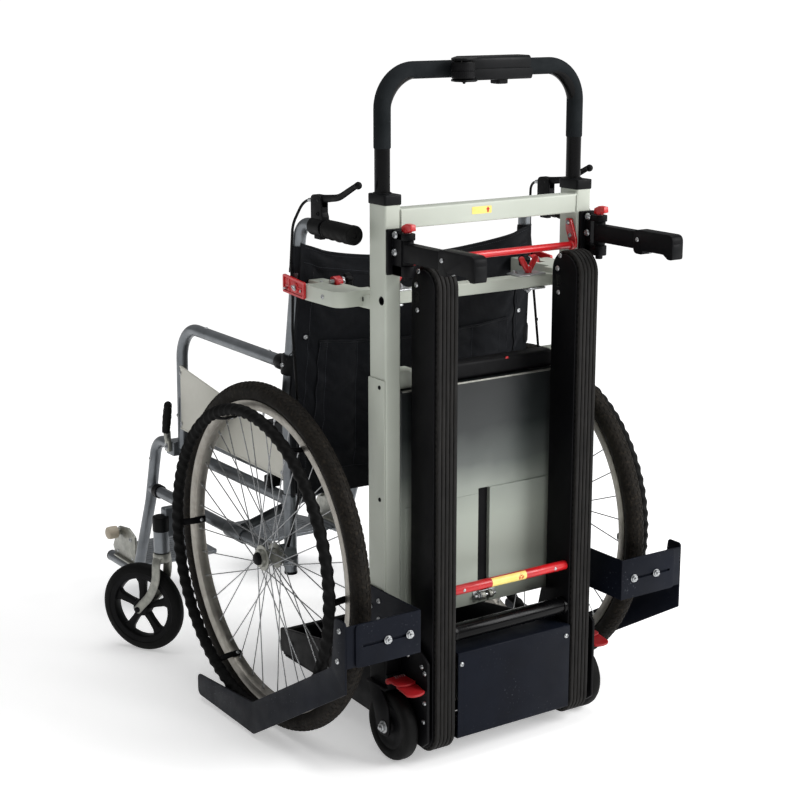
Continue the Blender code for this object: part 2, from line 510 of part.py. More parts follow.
POST = [(SIDE_X, 0.2390, 0.2700), (SIDE_X, 0.2390, 0.5900), (TOP_X, 0.2115, 0.8826), (TOP_X, 0.0463, 0.8795)]
for side, s in SIDES:
    post = fillet([(s * x, y, z) for x, y, z in POST], 0.030, 4)
    dense, rad = [], []
    for i, p in enumerate(post):
        if i == len(post) - 1:
            g0 = Vector((s * TOP_X, 0.1303, 0.8811))
            dense += [g0, g0 + Vector((0, -0.001, 0))]
            rad += [TUBE_R, 0.0160]
        dense.append(p)
        rad.append(0.0160 if i == len(post) - 1 else TUBE_R)
    frame = [pipe(dense, rad, 10)]
    frame.append(pipe(fillet(yz(s, [(0.2335, 0.6400), (0.6280, 0.6440), (0.6340, 0.4050)]), 0.065, 3), TUBE_R, 8))
    frame.append(pipe(fillet(yz(s, [(0.2390, 0.3987), (0.7480, 0.3987), (0.7859, 0.2626), (0.8500, 0.1080),
                                    (0.8700, 0.0920), (0.9800, 0.0920)]), 0.045, 2), TUBE_R, 8))
    frame.append(pipe(yz(s, [(0.2390, 0.2900), (0.7770, 0.2900)]), TUBE_R, 8))
    frame.append(box(s * 0.2440, s * 0.2955, 0.6280, 0.6480, 0.2330, 0.2920))
    frame.append(rod((s * STEM_X, STEM_Y, 0), (0, 0, 1), 0.0150, 0.2050, 0.2760, 12))
    frame.append(prism([(0.2360, 0.4360), (0.6360, 0.4446), (0.6360, 0.5694), (0.2360, 0.5070)], "x", s * 0.2532, s * 0.2574))
    frame.append(box(s * (TOP_X - 0.007), s * (TOP_X + 0.007), 0.1328, 0.1688, 0.8760, 0.9340))
    frame.append(box(s * 0.2440, s * 0.2700, 0.6350, 0.6650, 0.3900, 0.4180))
    frame.append(rod((s * SIDE_X, WHEEL_Y, WHEEL_R), (s, 0, 0), 0.0170, -0.004, 0.0200, 12))
    # brake cable from the lever's bracket down the post to the hub
    frame.append(pipe(fillet([(s * 0.2354, 0.1642, 0.9251), (s * 0.2372, 0.1978, 0.9200), (s * 0.2490, 0.2140, 0.8800),
                              (s * 0.2516, 0.2164, 0.8230), (s * 0.2532, 0.2120, 0.7850), (s * 0.2534, 0.2100, 0.7570),
                              (s * 0.2569, 0.2062, 0.7050), (s * 0.2588, 0.1900, 0.5870), (s * 0.2588, 0.1900, 0.4200),
                              (s * 0.2572, 0.2340, 0.3120)], 0.040, 1), 0.0024, 5))
    stem_bore = rod((s * STEM_X, STEM_Y, 0), (0, 0, 1), 0.0080, 0.19, 0.2640, 10)
    axle_bore = rod((0, WHEEL_Y, WHEEL_R), (s, 0, 0), 0.0064, 0.2435, 0.30, 10)
    lever_slot = box(s * (TOP_X - 0.0045), s * (TOP_X + 0.0045), 0.1218, 0.1583, 0.9150, 0.9500)
    node(f"chair_frame_{side}", cut(fuse(*frame), stem_bore, axle_bore, lever_slot), SILVER, smooth=40)

    # driving wheel: tyre, rim, spokes, hub and handrim
    section = [(0.2560, 0.011), (0.2560, -0.011)]
    for k in range(7):
        a = math.radians(-126 + 252 * k / 6)
        section.append((WHEEL_R - TYRE_R + TYRE_R * math.cos(a), TYRE_R * math.sin(a)))
    parts = [lathe(section, (s * WHEEL_X, WHEEL_Y, WHEEL_R), (s, 0, 0), 28, closed=True)]
    parts.append(lathe([(0, -0.0440), (0.0060, -0.0440), (0.0060, -0.0200), (0.0180, -0.0195), (0.0180, 0.0240),
                        (0.0100, 0.0300), (0, 0.0300)], (s * WHEEL_X, WHEEL_Y, WHEEL_R), (s, 0, 0), 14))
    for k in range(14):
        a = 2 * math.pi * (k + 0.31) / 14
        flange_x = 0.0145 if k % 2 else -0.0105
        d = Vector((0, math.cos(a), math.sin(a)))
        c = Vector((s * WHEEL_X, WHEEL_Y, WHEEL_R))
        parts.append(pipe([c + d * 0.0120 + Vector((s * flange_x, 0, 0)), c + d * 0.2610 + Vector((s * 0.0007, 0, 0))],
                          0.0017, 4))
    parts.append(lathe([(HANDRIM_R + HANDRIM_T * math.cos(a), HANDRIM_T * math.sin(a))
                        for a in [2 * math.pi * k / 5 for k in range(5)]],
                       (s * HANDRIM_X, WHEEL_Y, WHEEL_R), (s, 0, 0), 28, closed=True))
    for k in range(6):
        a = 2 * math.pi * k / 6
        d = Vector((0, math.cos(a), math.sin(a)))
        c = Vector((0, WHEEL_Y, WHEEL_R))
        parts.append(pipe([c + d * 0.2640 + Vector((s * (WHEEL_X + 0.008), 0, 0)),
                           c + d * HANDRIM_R + Vector((s * HANDRIM_X, 0, 0))], 0.004, 5))
    node(f"drive_wheel_{side}", fuse(*parts), RUBBER, (s * WHEEL_X, WHEEL_Y, WHEEL_R), smooth=40)

    # front caster, standing swivelled outward
    t = Vector((s * math.sin(SWIVEL), math.cos(SWIVEL), 0))
    n = Vector((t.y, -t.x, 0))
    stem = Vector((s * STEM_X, STEM_Y, 0))
    axle = stem + t * TRAIL + Vector((0, 0, FRONT_R))
    fork = [rod(stem, (0, 0, 1), 0.0076, 0.190, 0.2620, 10), rod(stem, (0, 0, 1), 0.0170, 0.1860, 0.2045, 12)]
    for k in (-1, 1):
        off = n * (k * 0.0205)
        top, shoulder = stem + Vector((0, 0, 0.1937)) + n * (k * 0.006), stem + off + t * 0.006 + Vector((0, 0, 0.1878))
        fork.append(pipe([top, shoulder, axle + off + (axle + off - shoulder).normalized() * 0.0021], 0.0052, 7))
        fork.append(rod(axle + off, n, 0.0110, -0.0035, 0.0035, 10))
    axle_hole = rod(axle, n, 0.0054, -0.04, 0.04, 10)
    node(f"caster_fork_{side}", cut(fuse(*fork), axle_hole), SILVER, stem + Vector((0, 0, 0.205)), smooth=40)
    w = FRONT_W / 2
    wheel = lathe([(0, -0.0240), (0.0050, -0.0240), (0.0050, -0.0060), (0.0660, -0.0060), (0.0680, -w + 0.002),
                   (0.0810, -w + 0.002), (FRONT_R, -w + 0.008), (FRONT_R, w - 0.008), (0.0810, w - 0.002),
                   (0.0680, w - 0.002), (0.0660, 0.0060), (0.0050, 0.0060), (0.0050, 0.0240), (0, 0.0240)],
                  axle, n, 20)
    node(f"caster_wheel_{side}", wheel, RUBBER, axle, smooth=40)

    # footplate hinged on the hanger's inner side
    px = s * 0.2325
    plate = fuse(prism(rounded([(s * 0.2305, 0.8780), (s * 0.2305, 0.9700), (s * 0.2100, FRONT_Y), (s * 0.0700, FRONT_Y),
                                (s * 0.0500, 0.9900), (s * 0.0500, 0.8780)], 0.012), "z", 0.0880, 0.0960),
                 rod((px, 0, 0.0920), (0, 1, 0), 0.0040, 0.8780, 0.9700, 10))
    node(f"footplate_{side}", plate, SILVER, (px, 0.9240, 0.0920), smooth=40)

    # hand-brake lever beside its bracket, and the parking-brake lever
    lv = rounded([(0.1548, 0.9190), (0.1548, 0.9330), (0.1398, 0.9372), (0.1174, 0.9372), (0.0906, 0.9415),
                  (0.0613, 0.9545), (0.0448, 0.9640), (0.0318, 0.9640), (0.0298, 0.9560), (0.0408, 0.9520),
                  (0.0557, 0.9457), (0.0908, 0.9296), (0.1176, 0.9245), (0.1418, 0.9190)], 0.004, 2)
    node(f"hand_brake_{side}", prism(lv, "x", s * (TOP_X - 0.004), s * (TOP_X + 0.004)), PLASTIC,
         (s * TOP_X, 0.1458, 0.9260), smooth=40)
    pk = fuse(prism(rounded([(0.6410, 0.3980), (0.6600, 0.3980), (0.6550, 0.4400), (0.6420, 0.4400)], 0.004), "x",
                    s * 0.2704, s * 0.2764),
              pipe([(s * 0.2750, 0.6480, 0.4250), (s * 0.2800, 0.6440, 0.4400), (s * 0.2800, 0.6300, 0.5000)],
                   [0.0075, 0.0085, 0.0085], 12))
    node(f"parking_brake_{side}", pk, PLASTIC, (s * 0.2734, 0.6500, 0.4050), smooth=40)

# folding cross brace with the seat tubes
SEAT_X, SEAT_Z, BRACE_Y = 0.2270, 0.4280, 0.4300
brace = []
for _, s in SIDES:
    brace.append(rod((s * SEAT_X, 0, SEAT_Z), (0, 1, 0), 0.0100, 0.2620, 0.6400, 8))
    brace.append(pipe([(s * SEAT_X, BRACE_Y, SEAT_Z), (-s * (SIDE_X - 0.0122), BRACE_Y, 0.2955)], 0.0090, 8))
    ring = [(0.0118, -0.030), (0.0145, -0.030), (0.0145, 0.030), (0.0118, 0.030)]
    brace.append(lathe(ring, (s * SIDE_X, BRACE_Y, 0.2900), (0, 1, 0), 12, closed=True))
node("cross_brace", fuse(*brace), SILVER, smooth=40)

node("seat_sling", prism(rounded([(-0.2330, 0.2620), (0.2330, 0.2620), (0.2330, 0.6500), (-0.2330, 0.6500)], 0.012),
                         "z", SEAT_Z + 0.0105, SEAT_Z + 0.0260), CLOTH)
BT = 0.007
front = [(0.2390 + BT, 0.4100), (0.2390 + BT, 0.5920), (0.2163 + BT, 0.8320)]
back = [(y - 2 * BT, z - 0.002 * (z > 0.5)) for y, z in reversed(front)]
node("back_sling", prism(front + back, "x", -0.2240, 0.2240), CLOTH)
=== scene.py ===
# Looks of the stair chair: every surface of the tracked carrier and of the
# folding wheelchair on it.  Lengths along Y are written from the mast's rear
# face, as on the solids, and moved by Y_MID when a piece is placed.
import math

import bmesh
import bpy
from mathutils import Matrix, Vector


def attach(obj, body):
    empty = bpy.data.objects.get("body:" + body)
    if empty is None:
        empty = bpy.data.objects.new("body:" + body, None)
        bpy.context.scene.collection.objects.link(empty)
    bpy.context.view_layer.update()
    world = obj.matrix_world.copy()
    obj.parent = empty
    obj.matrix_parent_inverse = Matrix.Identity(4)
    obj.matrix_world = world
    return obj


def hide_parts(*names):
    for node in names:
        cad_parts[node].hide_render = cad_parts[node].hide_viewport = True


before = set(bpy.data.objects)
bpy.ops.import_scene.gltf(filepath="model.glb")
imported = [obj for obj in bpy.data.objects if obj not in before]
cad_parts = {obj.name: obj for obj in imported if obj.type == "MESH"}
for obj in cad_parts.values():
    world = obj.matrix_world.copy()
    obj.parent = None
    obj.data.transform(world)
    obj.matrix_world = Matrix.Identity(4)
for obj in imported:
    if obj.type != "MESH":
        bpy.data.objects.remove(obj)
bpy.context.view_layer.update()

Y_MID = 0.404
GAP = 0.0003
SIDES = (("left", -1), ("right", 1))
SCENE = bpy.context.scene
V = Vector


# ---------------------------------------------------------------- shapes
def box(x0, x1, y0, y1, z0, z1):
    bm = bmesh.new()
    bmesh.ops.create_cube(bm, size=1.0)
    for v in bm.verts:
        v.co = ((x0 + x1) / 2 + v.co.x * abs(x1 - x0),
                (y0 + y1) / 2 + v.co.y * abs(y1 - y0),
                (z0 + z1) / 2 + v.co.z * abs(z1 - z0))
    return bm


def soften(bm, width, seg=2, angle=30):
    """Edges sharper than an angle broken to a small radius."""
    bmesh.ops.recalc_face_normals(bm, faces=bm.faces[:])
    lim = math.radians(angle)
    edges = [e for e in bm.edges if len(e.link_faces) == 2 and e.calc_face_angle(0) > lim]
    if edges:
        bmesh.ops.bevel(bm, geom=edges, offset=width, offset_type="OFFSET", segments=seg, profile=0.5,
                        affect="EDGES", clamp_overlap=True)
    return bm


def rbox(x0, x1, y0, y1, z0, z1, r=0.0015, seg=3):
    return soften(box(x0, x1, y0, y1, z0, z1), r, seg)


def rounded(poly, radius, steps=5):
    out, n = [], len(poly)
    for i, p in enumerate(poly):
        a, b, p = V(poly[i - 1]), V(poly[(i + 1) % n]), V(p)
        u, w = a - p, b - p
        half = math.acos(max(-1, min(1, u.normalized().dot(w.normalized())))) / 2
        r = radius[i] if isinstance(radius, (list, tuple)) else radius
        cut_len = min(r / math.tan(half), 0.45 * u.length, 0.45 * w.length) if r else 0
        if cut_len < 1e-6:
            out.append(tuple(p))
            continue
        s, e = p + u.normalized() * cut_len, p + w.normalized() * cut_len
        for k in range(steps + 1):
            t = k / steps
            q = s * (1 - t) ** 2 + p * 2 * t * (1 - t) + e * t ** 2
            out.append((q.x, q.y))
    return out


def lift(axis, p, a):
    return {"x": (a, p[0], p[1]), "y": (p[0], a, p[1]), "z": (p[0], p[1], a)}[axis]


def prism(poly, axis, a0, a1, edge=0.0, seg=2):
    bm = bmesh.new()
    lo = [bm.verts.new(lift(axis, p, a0)) for p in poly]
    hi = [bm.verts.new(lift(axis, p, a1)) for p in poly]
    n = len(poly)
    bm.faces.new(lo)
    bm.faces.new(hi)
    for i in range(n):
        bm.faces.new((lo[i], lo[(i + 1) % n], hi[(i + 1) % n], hi[i]))
    if edge:
        soften(bm, edge, seg, 40)
    return bm


def basis(axis):
    axis = V(axis).normalized()
    ref = V((0, 0, 1)) if abs(axis.z) < 0.9 else V((1, 0, 0))
    side = (ref - axis * ref.dot(axis)).normalized()
    return axis, side, axis.cross(side)


def lathe(profile, centre, axis, seg=48, closed=False, turn=0.0, wob=None):
    """Profile of (radius, distance along the axis) turned about the axis; wob
    changes the radius with the angle."""
    axis, side, up = basis(axis)
    c = V(centre)
    bm = bmesh.new()
    rings = []
    for r, a in profile:
        if r < 1e-9:
            rings.append([bm.verts.new(c + axis * a)])
        else:
            ring = []
            for k in range(seg):
                t = turn + 2 * math.pi * k / seg
                q = r * (wob(t, r, a) if wob else 1.0)
                ring.append(bm.verts.new(c + axis * a + side * (q * math.cos(t)) + up * (q * math.sin(t))))
            rings.append(ring)
    pairs = [(i, i + 1) for i in range(len(rings) - 1)]
    if closed:
        pairs.append((len(rings) - 1, 0))
    for i, j in pairs:
        s, t = rings[i], rings[j]
        for k in range(seg):
            m = (k + 1) % seg
            if len(s) == 1 and len(t) == 1:
                continue
            if len(s) == 1:
                bm.faces.new((s[0], t[m], t[k]))
            elif len(t) == 1:
                bm.faces.new((s[k], s[m], t[0]))
            else:
                bm.faces.new((s[k], s[m], t[m], t[k]))
    return bm


def rod(centre, axis, r, a0, a1, seg=32, edge=0.0006):
    e = min(edge, r * 0.4, abs(a1 - a0) * 0.3)
    if e <= 0:
        return lathe([(0, a0), (r, a0), (r, a1), (0, a1)], centre, axis, seg)
    return lathe([(0, a0), (r - e, a0), (r - e * 0.3, a0 + e * 0.3), (r, a0 + e), (r, a1 - e), (r - e * 0.3, a1 - e * 0.3),
                  (r - e, a1), (0, a1)], centre, axis, seg)


def tube(centre, axis, r, ri, a0, a1, seg=32):
    e = min(0.0005, (r - ri) * 0.3)
    return lathe([(ri, a0), (r - e, a0), (r, a0 + e), (r, a1 - e), (r - e, a1), (ri, a1)], centre, axis, seg, closed=True)


def fillet(points, radius, steps=10):
    pts = [V(p) for p in points]
    out = [pts[0]]
    for i in range(1, len(pts) - 1):
        p, u, w = pts[i], pts[i - 1] - pts[i], pts[i + 1] - pts[i]
        ang = u.angle(w)
        if ang > math.radians(178):
            out.append(p)
            continue
        cut_len = min(radius / math.tan(ang / 2), 0.49 * u.length, 0.49 * w.length)
        rr = cut_len * math.tan(ang / 2)
        s = p + u.normalized() * cut_len
        mid = (u.normalized() + w.normalized()).normalized()
        c = p + mid * (rr / math.sin(ang / 2))
        ax = u.cross(w).normalized()
        for k in range(steps + 1):
            out.append(c + Matrix.Rotation(-(math.pi - ang) * k / steps, 3, ax) @ (s - c))
    out.append(pts[-1])
    return out


def spline(points, per=10):
    """Smooth curve through points."""
    pts = [V(p) for p in points]
    ext = [pts[0] * 2 - pts[1]] + pts + [pts[-1] * 2 - pts[-2]]
    out = []
    for i in range(1, len(ext) - 2):
        a, b, c, d = ext[i - 1], ext[i], ext[i + 1], ext[i + 2]
        for k in range(per):
            t = k / per
            out.append(0.5 * ((2 * b) + (c - a) * t + (2 * a - 5 * b + 4 * c - d) * t * t + (3 * b - a - 3 * c + d) * t ** 3))
    out.append(pts[-1])
    return out


def pipe(points, radius, seg=24, flat=None, first=None):
    """Round bar along a line; radius is one number or one per point, and flat
    squeezes the section along its second direction."""
    pts = [V(p) for p in points]
    rad = radius if isinstance(radius, (list, tuple)) else [radius] * len(pts)
    tan = []
    for i in range(len(pts)):
        d0 = (pts[i] - pts[i - 1]).normalized() if i else None
        d1 = (pts[i + 1] - pts[i]).normalized() if i < len(pts) - 1 else None
        tan.append(((d0 or d1) + (d1 or d0)).normalized())
    side = V(first) if first else tan[0].orthogonal()
    bm = bmesh.new()
    rings = []
    for i, p in enumerate(pts):
        side = (side - tan[i] * side.dot(tan[i])).normalized()
        up = tan[i].cross(side)
        f = 1.0 if flat is None else (flat[i] if isinstance(flat, (list, tuple)) else flat)
        rings.append([bm.verts.new(p + (side * math.cos(2 * math.pi * k / seg)
                                        + up * (f * math.sin(2 * math.pi * k / seg))) * rad[i]) for k in range(seg)])
    for s, t in zip(rings, rings[1:]):
        for k in range(seg):
            bm.faces.new((s[k], s[(k + 1) % seg], t[(k + 1) % seg], t[k]))
    bm.faces.new(rings[0])
    bm.faces.new(rings[-1])
    return bm


def sweep(section, frames, closed_path=False):
    """Closed section of (u, w) carried along frames of (point, u axis, w axis)."""
    bm = bmesh.new()
    rings = [[bm.verts.new(p + a * u + b * w) for u, w in section] for p, a, b in frames]
    n = len(section)
    m = len(rings)
    for i in range(m if closed_path else m - 1):
        s, t = rings[i], rings[(i + 1) % m]
        for k in range(n):
            bm.faces.new((s[k], s[(k + 1) % n], t[(k + 1) % n], t[k]))
    if not closed_path:
        bm.faces.new(rings[0])
        bm.faces.new(rings[-1])
    return bm


def merge(*shapes):
    """Closed shapes put into one mesh."""
    out = bmesh.new()
    for bm in shapes:
        me = bpy.data.meshes.new("shape")
        bmesh.ops.recalc_face_normals(bm, faces=bm.faces[:])
        bm.to_mesh(me)
        bm.free()
        out.from_mesh(me)
        bpy.data.meshes.remove(me)
    return out


def temp(bm):
    bmesh.ops.recalc_face_normals(bm, faces=bm.faces[:])
    me = bpy.data.meshes.new("shape")
    bm.to_mesh(me)
    bm.free()
    ob = bpy.data.objects.new("shape", me)
    SCENE.collection.objects.link(ob)
    return ob


def combine(first, others, how):
    base = temp(first)
    for other in others:
        tool = temp(other)
        mod = base.modifiers.new("join", "BOOLEAN")
        mod.operation = how
        mod.solver = "EXACT"
        mod.object = tool
        dg = bpy.context.evaluated_depsgraph_get()
        dg.update()
        me = bpy.data.meshes.new_from_object(base.evaluated_get(dg))
        base.modifiers.clear()
        base.data = me
        bpy.data.objects.remove(tool, do_unlink=True)
    bm = bmesh.new()
    bm.from_mesh(base.data)
    bmesh.ops.remove_doubles(bm, verts=bm.verts[:], dist=1e-6)
    bpy.data.objects.remove(base, do_unlink=True)
    return bm


def fuse(*shapes):
    return combine(shapes[0], shapes[1:], "UNION")


def cut(shape, *tools):
    return combine(shape, tools, "DIFFERENCE")


def place(bm, centre, axis, turn=0.0):
    """A shape made about +Z moved so that +Z lies on an axis at a point."""
    ax, side, up = basis(axis)
    c = V(centre)
    cs, sn = math.cos(turn), math.sin(turn)
    for v in bm.verts:
        x, y, z = v.co
        v.co = c + side * (x * cs - y * sn) + up * (x * sn + y * cs) + ax * z
    return bm


def hexagon(r, turn=0.0):
    return [(r * math.cos(turn + math.pi * k / 3), r * math.sin(turn + math.pi * k / 3)) for k in range(6)]


def hex_bolt(c, axis, r=0.0055, h=0.004, washer=1.55, turn=0.2):
    """Hexagon head on a washer, with the thread's end showing above it."""
    head = soften(prism(hexagon(r, turn), "z", 0.0008, h), 0.0005, 2, 40)
    wash = rod((0, 0, 0), (0, 0, 1), r * washer, 0, 0.0011, 28, 0.0003)
    tip = lathe([(0, h - 0.0003), (r * 0.52, h - 0.0003), (r * 0.52, h + r * 0.3), (r * 0.36, h + r * 0.5), (0, h + r * 0.5)],
                (0, 0, 0), (0, 0, 1), 16)
    return place(merge(head, wash, tip), c, axis)


def pan_screw(c, axis, r=0.0045, h=0.0026, turn=0.3):
    """Domed head with a hexagon socket."""
    prof = [(0, h * 0.45), (r * 0.46, h * 0.45), (r * 0.50, h * 0.98), (r * 0.62, h), (r * 0.86, h * 0.72), (r * 0.98, h * 0.34), (r, 0.0), (0, 0.0)]
    return place(lathe(prof, (0, 0, 0), (0, 0, 1), 24, turn=turn), c, axis)


def rivet(c, axis, r=0.0035, h=0.0014):
    prof = [(0, h), (r * 0.4, h * 0.96), (r * 0.75, h * 0.7), (r * 0.96, h * 0.25), (r, 0), (0, 0)]
    return place(lathe(prof, (0, 0, 0), (0, 0, 1), 20), c, axis)


def link(name, me, mat):
    ob = bpy.data.objects.new(name, me)
    SCENE.collection.objects.link(ob)
    for m in (mat if isinstance(mat, (list, tuple)) else [mat]):
        me.materials.append(m)
    return ob


def piece(name, bm, mat, body, replaces=(), angle=35):
    """A finished piece, placed and carried by one of the moving bodies."""
    bmesh.ops.recalc_face_normals(bm, faces=bm.faces[:])
    for v in bm.verts:
        v.co.y -= Y_MID
    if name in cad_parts:
        name += "_skin"
    me = bpy.data.meshes.new(name)
    bm.to_mesh(me)
    bm.free()
    me.shade_smooth()
    me.set_sharp_from_angle(angle=math.radians(angle))
    ob = link(name, me, mat)
    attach(ob, body)
    if replaces:
        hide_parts(*([replaces] if isinstance(replaces, str) else replaces))
    return ob


# ---------------------------------------------------------------- surfaces
def C(r, g, b):
    """Display colour to linear."""
    def f(c):
        c /= 255.0
        return c / 12.92 if c <= 0.04045 else ((c + 0.055) / 1.055) ** 2.4
    return (f(r), f(g), f(b), 1.0)


class Surf:
    """A shader with textures in the piece's own coordinates."""

    def __init__(self, name, rough=0.5, metal=0.0, spec=0.5):
        self.m = bpy.data.materials.new(name)
        self.m.use_nodes = True
        self.nt = self.m.node_tree
        self.b = self.nt.nodes["Principled BSDF"]
        self.b.inputs["Roughness"].default_value = rough
        self.b.inputs["Metallic"].default_value = metal
        self.b.inputs["Specular IOR Level"].default_value = spec
        self.co = self.nt.nodes.new("ShaderNodeTexCoord").outputs["Object"]

    def n(self, kind, **inputs):
        nd = self.nt.nodes.new(kind)
        for k, v in inputs.items():
            self.put(nd.inputs[k.replace("_", " ")], v)
        return nd

    def put(self, socket, v):
        if isinstance(v, bpy.types.NodeSocket):
            self.nt.links.new(v, socket)
        else:
            socket.default_value = v

    def noise(self, scale, detail=3.0, rough=0.55, stretch=None):
        co = self.co
        if stretch:
            mp = self.n("ShaderNodeMapping", Vector=co, Scale=stretch)
            co = mp.outputs["Vector"]
        return self.n("ShaderNodeTexNoise", Vector=co, Scale=scale, Detail=detail, Roughness=rough).outputs["Fac"]

    def ramp(self, fac, *stops):
        nd = self.n("ShaderNodeValToRGB", Fac=fac)
        el = nd.color_ramp.elements
        while len(el) < len(stops):
            el.new(0.5)
        for e, (pos, col) in zip(el, stops):
            e.position = pos
            e.color = col if len(col) == 4 else (*col, 1.0)
        return nd.outputs["Color"]

    def level(self, fac, lo, hi, a=0.0, b=1.0):
        return self.n("ShaderNodeMapRange", Value=fac, From_Min=a, From_Max=b, To_Min=lo, To_Max=hi).outputs["Result"]

    def mix(self, fac, a, b):
        nd = self.nt.nodes.new("ShaderNodeMix")
        nd.data_type = "RGBA"
        self.put(nd.inputs[0], fac)
        self.put(nd.inputs[6], a)
        self.put(nd.inputs[7], b)
        return nd.outputs[2]

    def math(self, op, a, b=0.0):
        nd = self.nt.nodes.new("ShaderNodeMath")
        nd.operation = op
        self.put(nd.inputs[0], a)
        self.put(nd.inputs[1], b)
        return nd.outputs[0]

    def bump(self, *layers):
        """Layers of (height, strength, distance) one over the other."""
        normal = None
        for height, strength, dist in layers:
            nd = self.n("ShaderNodeBump", Height=height, Strength=strength, Distance=dist)
            if normal is not None:
                self.nt.links.new(normal, nd.inputs["Normal"])
            normal = nd.outputs["Normal"]
        self.nt.links.new(normal, self.b.inputs["Normal"])

    def edge(self, radius=0.0012):
        """1 near the edges of the piece, 0 on its faces."""
        bv = self.nt.nodes.new("ShaderNodeBevel")
        bv.samples = 4
        bv.inputs["Radius"].default_value = radius
        geo = self.nt.nodes.new("ShaderNodeNewGeometry")
        dot = self.nt.nodes.new("ShaderNodeVectorMath")
        dot.operation = "DOT_PRODUCT"
        self.nt.links.new(bv.outputs["Normal"], dot.inputs[0])
        self.nt.links.new(geo.outputs["Normal"], dot.inputs[1])
        return self.level(dot.outputs["Value"], 1.0, 0.0, 0.80, 0.985)

    def z(self):
        sp = self.n("ShaderNodeSeparateXYZ", Vector=self.co)
        return sp.outputs["Z"]

    def xyz(self):
        sp = self.n("ShaderNodeSeparateXYZ", Vector=self.co)
        return sp.outputs["X"], sp.outputs["Y"], sp.outputs["Z"]

    def wave(self, scale, direction, distort=0.0, dscale=1.0):
        nd = self.n("ShaderNodeTexWave", Vector=self.co, Scale=scale, Distortion=distort, Detail_Scale=dscale)
        nd.bands_direction = direction
        return nd.outputs["Fac"]

    def color(self, out):
        self.put(self.b.inputs["Base Color"], out)

    def rough(self, out):
        self.put(self.b.inputs["Roughness"], out)


def painted(name, dark, light, rough, spec=0.5, metal=0.0, peel=700.0, depth=0.25, blotch=9.0, rub=None, coat=0.0, dust=None):
    """Sprayed coat: slow colour drift, orange peel, and edges rubbed bright."""
    s = Surf(name, rough, metal, spec)
    slow = s.noise(blotch, 4.0, 0.6)
    col = s.ramp(slow, (0.32, dark), (0.68, light))
    if dust:
        grain = s.ramp(s.noise(260.0, 2.0, 0.5), (0.66, (0, 0, 0)), (0.74, (1, 1, 1)))
        patch = s.ramp(s.noise(14.0, 3.0, 0.6), (0.46, (0, 0, 0)), (0.66, (1, 1, 1)))
        col = s.mix(s.math("MULTIPLY", s.math("MULTIPLY", grain, patch), dust[1]), col, dust[0])
    if rub:
        worn = s.math("MULTIPLY", s.edge(rub[2] if len(rub) > 2 else 0.0012), s.level(s.noise(85.0, 4.0, 0.65), 0.0, 1.0, 0.36, 0.62))
        col = s.mix(s.math("MULTIPLY", worn, rub[1]), col, rub[0])
    s.color(col)
    s.rough(s.level(s.noise(38.0, 3.0, 0.5), rough - 0.06, rough + 0.08, 0.3, 0.7))
    s.bump((s.noise(peel, 2.0, 0.5), depth, 0.0004))
    if coat:
        s.b.inputs["Coat Weight"].default_value = coat
        s.b.inputs["Coat Roughness"].default_value = 0.12
    return s.m


def grained(name, dark, light, rough, spec=0.4, scale=1500.0, depth=0.35, blotch=18.0):
    """Moulded plastic or rubber with a fine pitted grain."""
    s = Surf(name, rough, 0.0, spec)
    s.color(s.ramp(s.noise(blotch, 5.0, 0.65), (0.30, dark), (0.72, light)))
    s.rough(s.level(s.noise(55.0, 3.0, 0.6), rough - 0.07, rough + 0.09, 0.3, 0.7))
    cell = s.n("ShaderNodeTexVoronoi", Vector=s.co, Scale=scale).outputs["Distance"]
    s.bump((cell, depth, 0.0003), (s.noise(scale * 0.35, 2.0, 0.5), depth * 0.6, 0.0003))
    return s.m


def plated(name, dark, light, rough, scale=120.0, brushed=None, metal=1.0):
    """Bare or plated metal with cloudy gloss and fine scratches."""
    s = Surf(name, rough, metal, 0.5)
    s.color(s.ramp(s.noise(scale, 4.0, 0.6), (0.30, dark), (0.70, light)))
    s.rough(s.level(s.noise(scale * 1.7, 3.0, 0.6), rough - 0.08, rough + 0.12, 0.3, 0.7))
    fine = s.noise(scale * 6, 2.0, 0.5, brushed) if brushed else s.noise(scale * 9, 2.0, 0.5)
    s.bump((fine, 0.05, 0.0002))
    return s.m


GREY = painted("grey_paint", C(178, 183, 172), C(189, 194, 183), 0.44, 0.42, peel=900.0, depth=0.08, blotch=5.0,
               rub=(C(214, 217, 208), 0.30, 0.0010))
BLACK = painted("black_powder_coat", C(8, 8, 10), C(13, 13, 15), 0.46, 0.08, peel=1100.0, depth=0.18, rub=(C(70, 72, 76), 0.30, 0.0010))
NAVY = painted("navy_black_coat", C(11, 14, 22), C(16, 20, 30), 0.46, 0.08, peel=1000.0, depth=0.18, rub=(C(70, 74, 84), 0.34, 0.0010),
               dust=(C(110, 114, 120), 0.45))
GLOSS = painted("gloss_black_tube", C(4, 4, 5), C(7, 7, 8), 0.24, 0.12, peel=500.0, depth=0.04)
PLASTIC = grained("black_plastic", C(9, 9, 10), C(15, 15, 17), 0.50, 0.10, 1300.0, 0.16)
SATIN = grained("satin_plastic", C(9, 10, 11), C(15, 16, 18), 0.42, 0.10, 1700.0, 0.10)
FOAM = grained("foam_sleeve", C(24, 27, 29), C(33, 36, 38), 0.80, 0.06, 900.0, 0.40, 30.0)
RUBBER = grained("black_rubber", C(10, 10, 10), C(17, 17, 17), 0.62, 0.10, 800.0, 0.18)
RED = painted("red_paint", C(176, 14, 22), C(205, 24, 30), 0.34, 0.42, peel=600.0, depth=0.10, blotch=16.0, coat=0.25,
              rub=(C(226, 120, 112), 0.28, 0.0008))
PEDAL = grained("dark_red_plastic", C(128, 12, 18), C(160, 20, 26), 0.44, 0.36, 1200.0, 0.18)
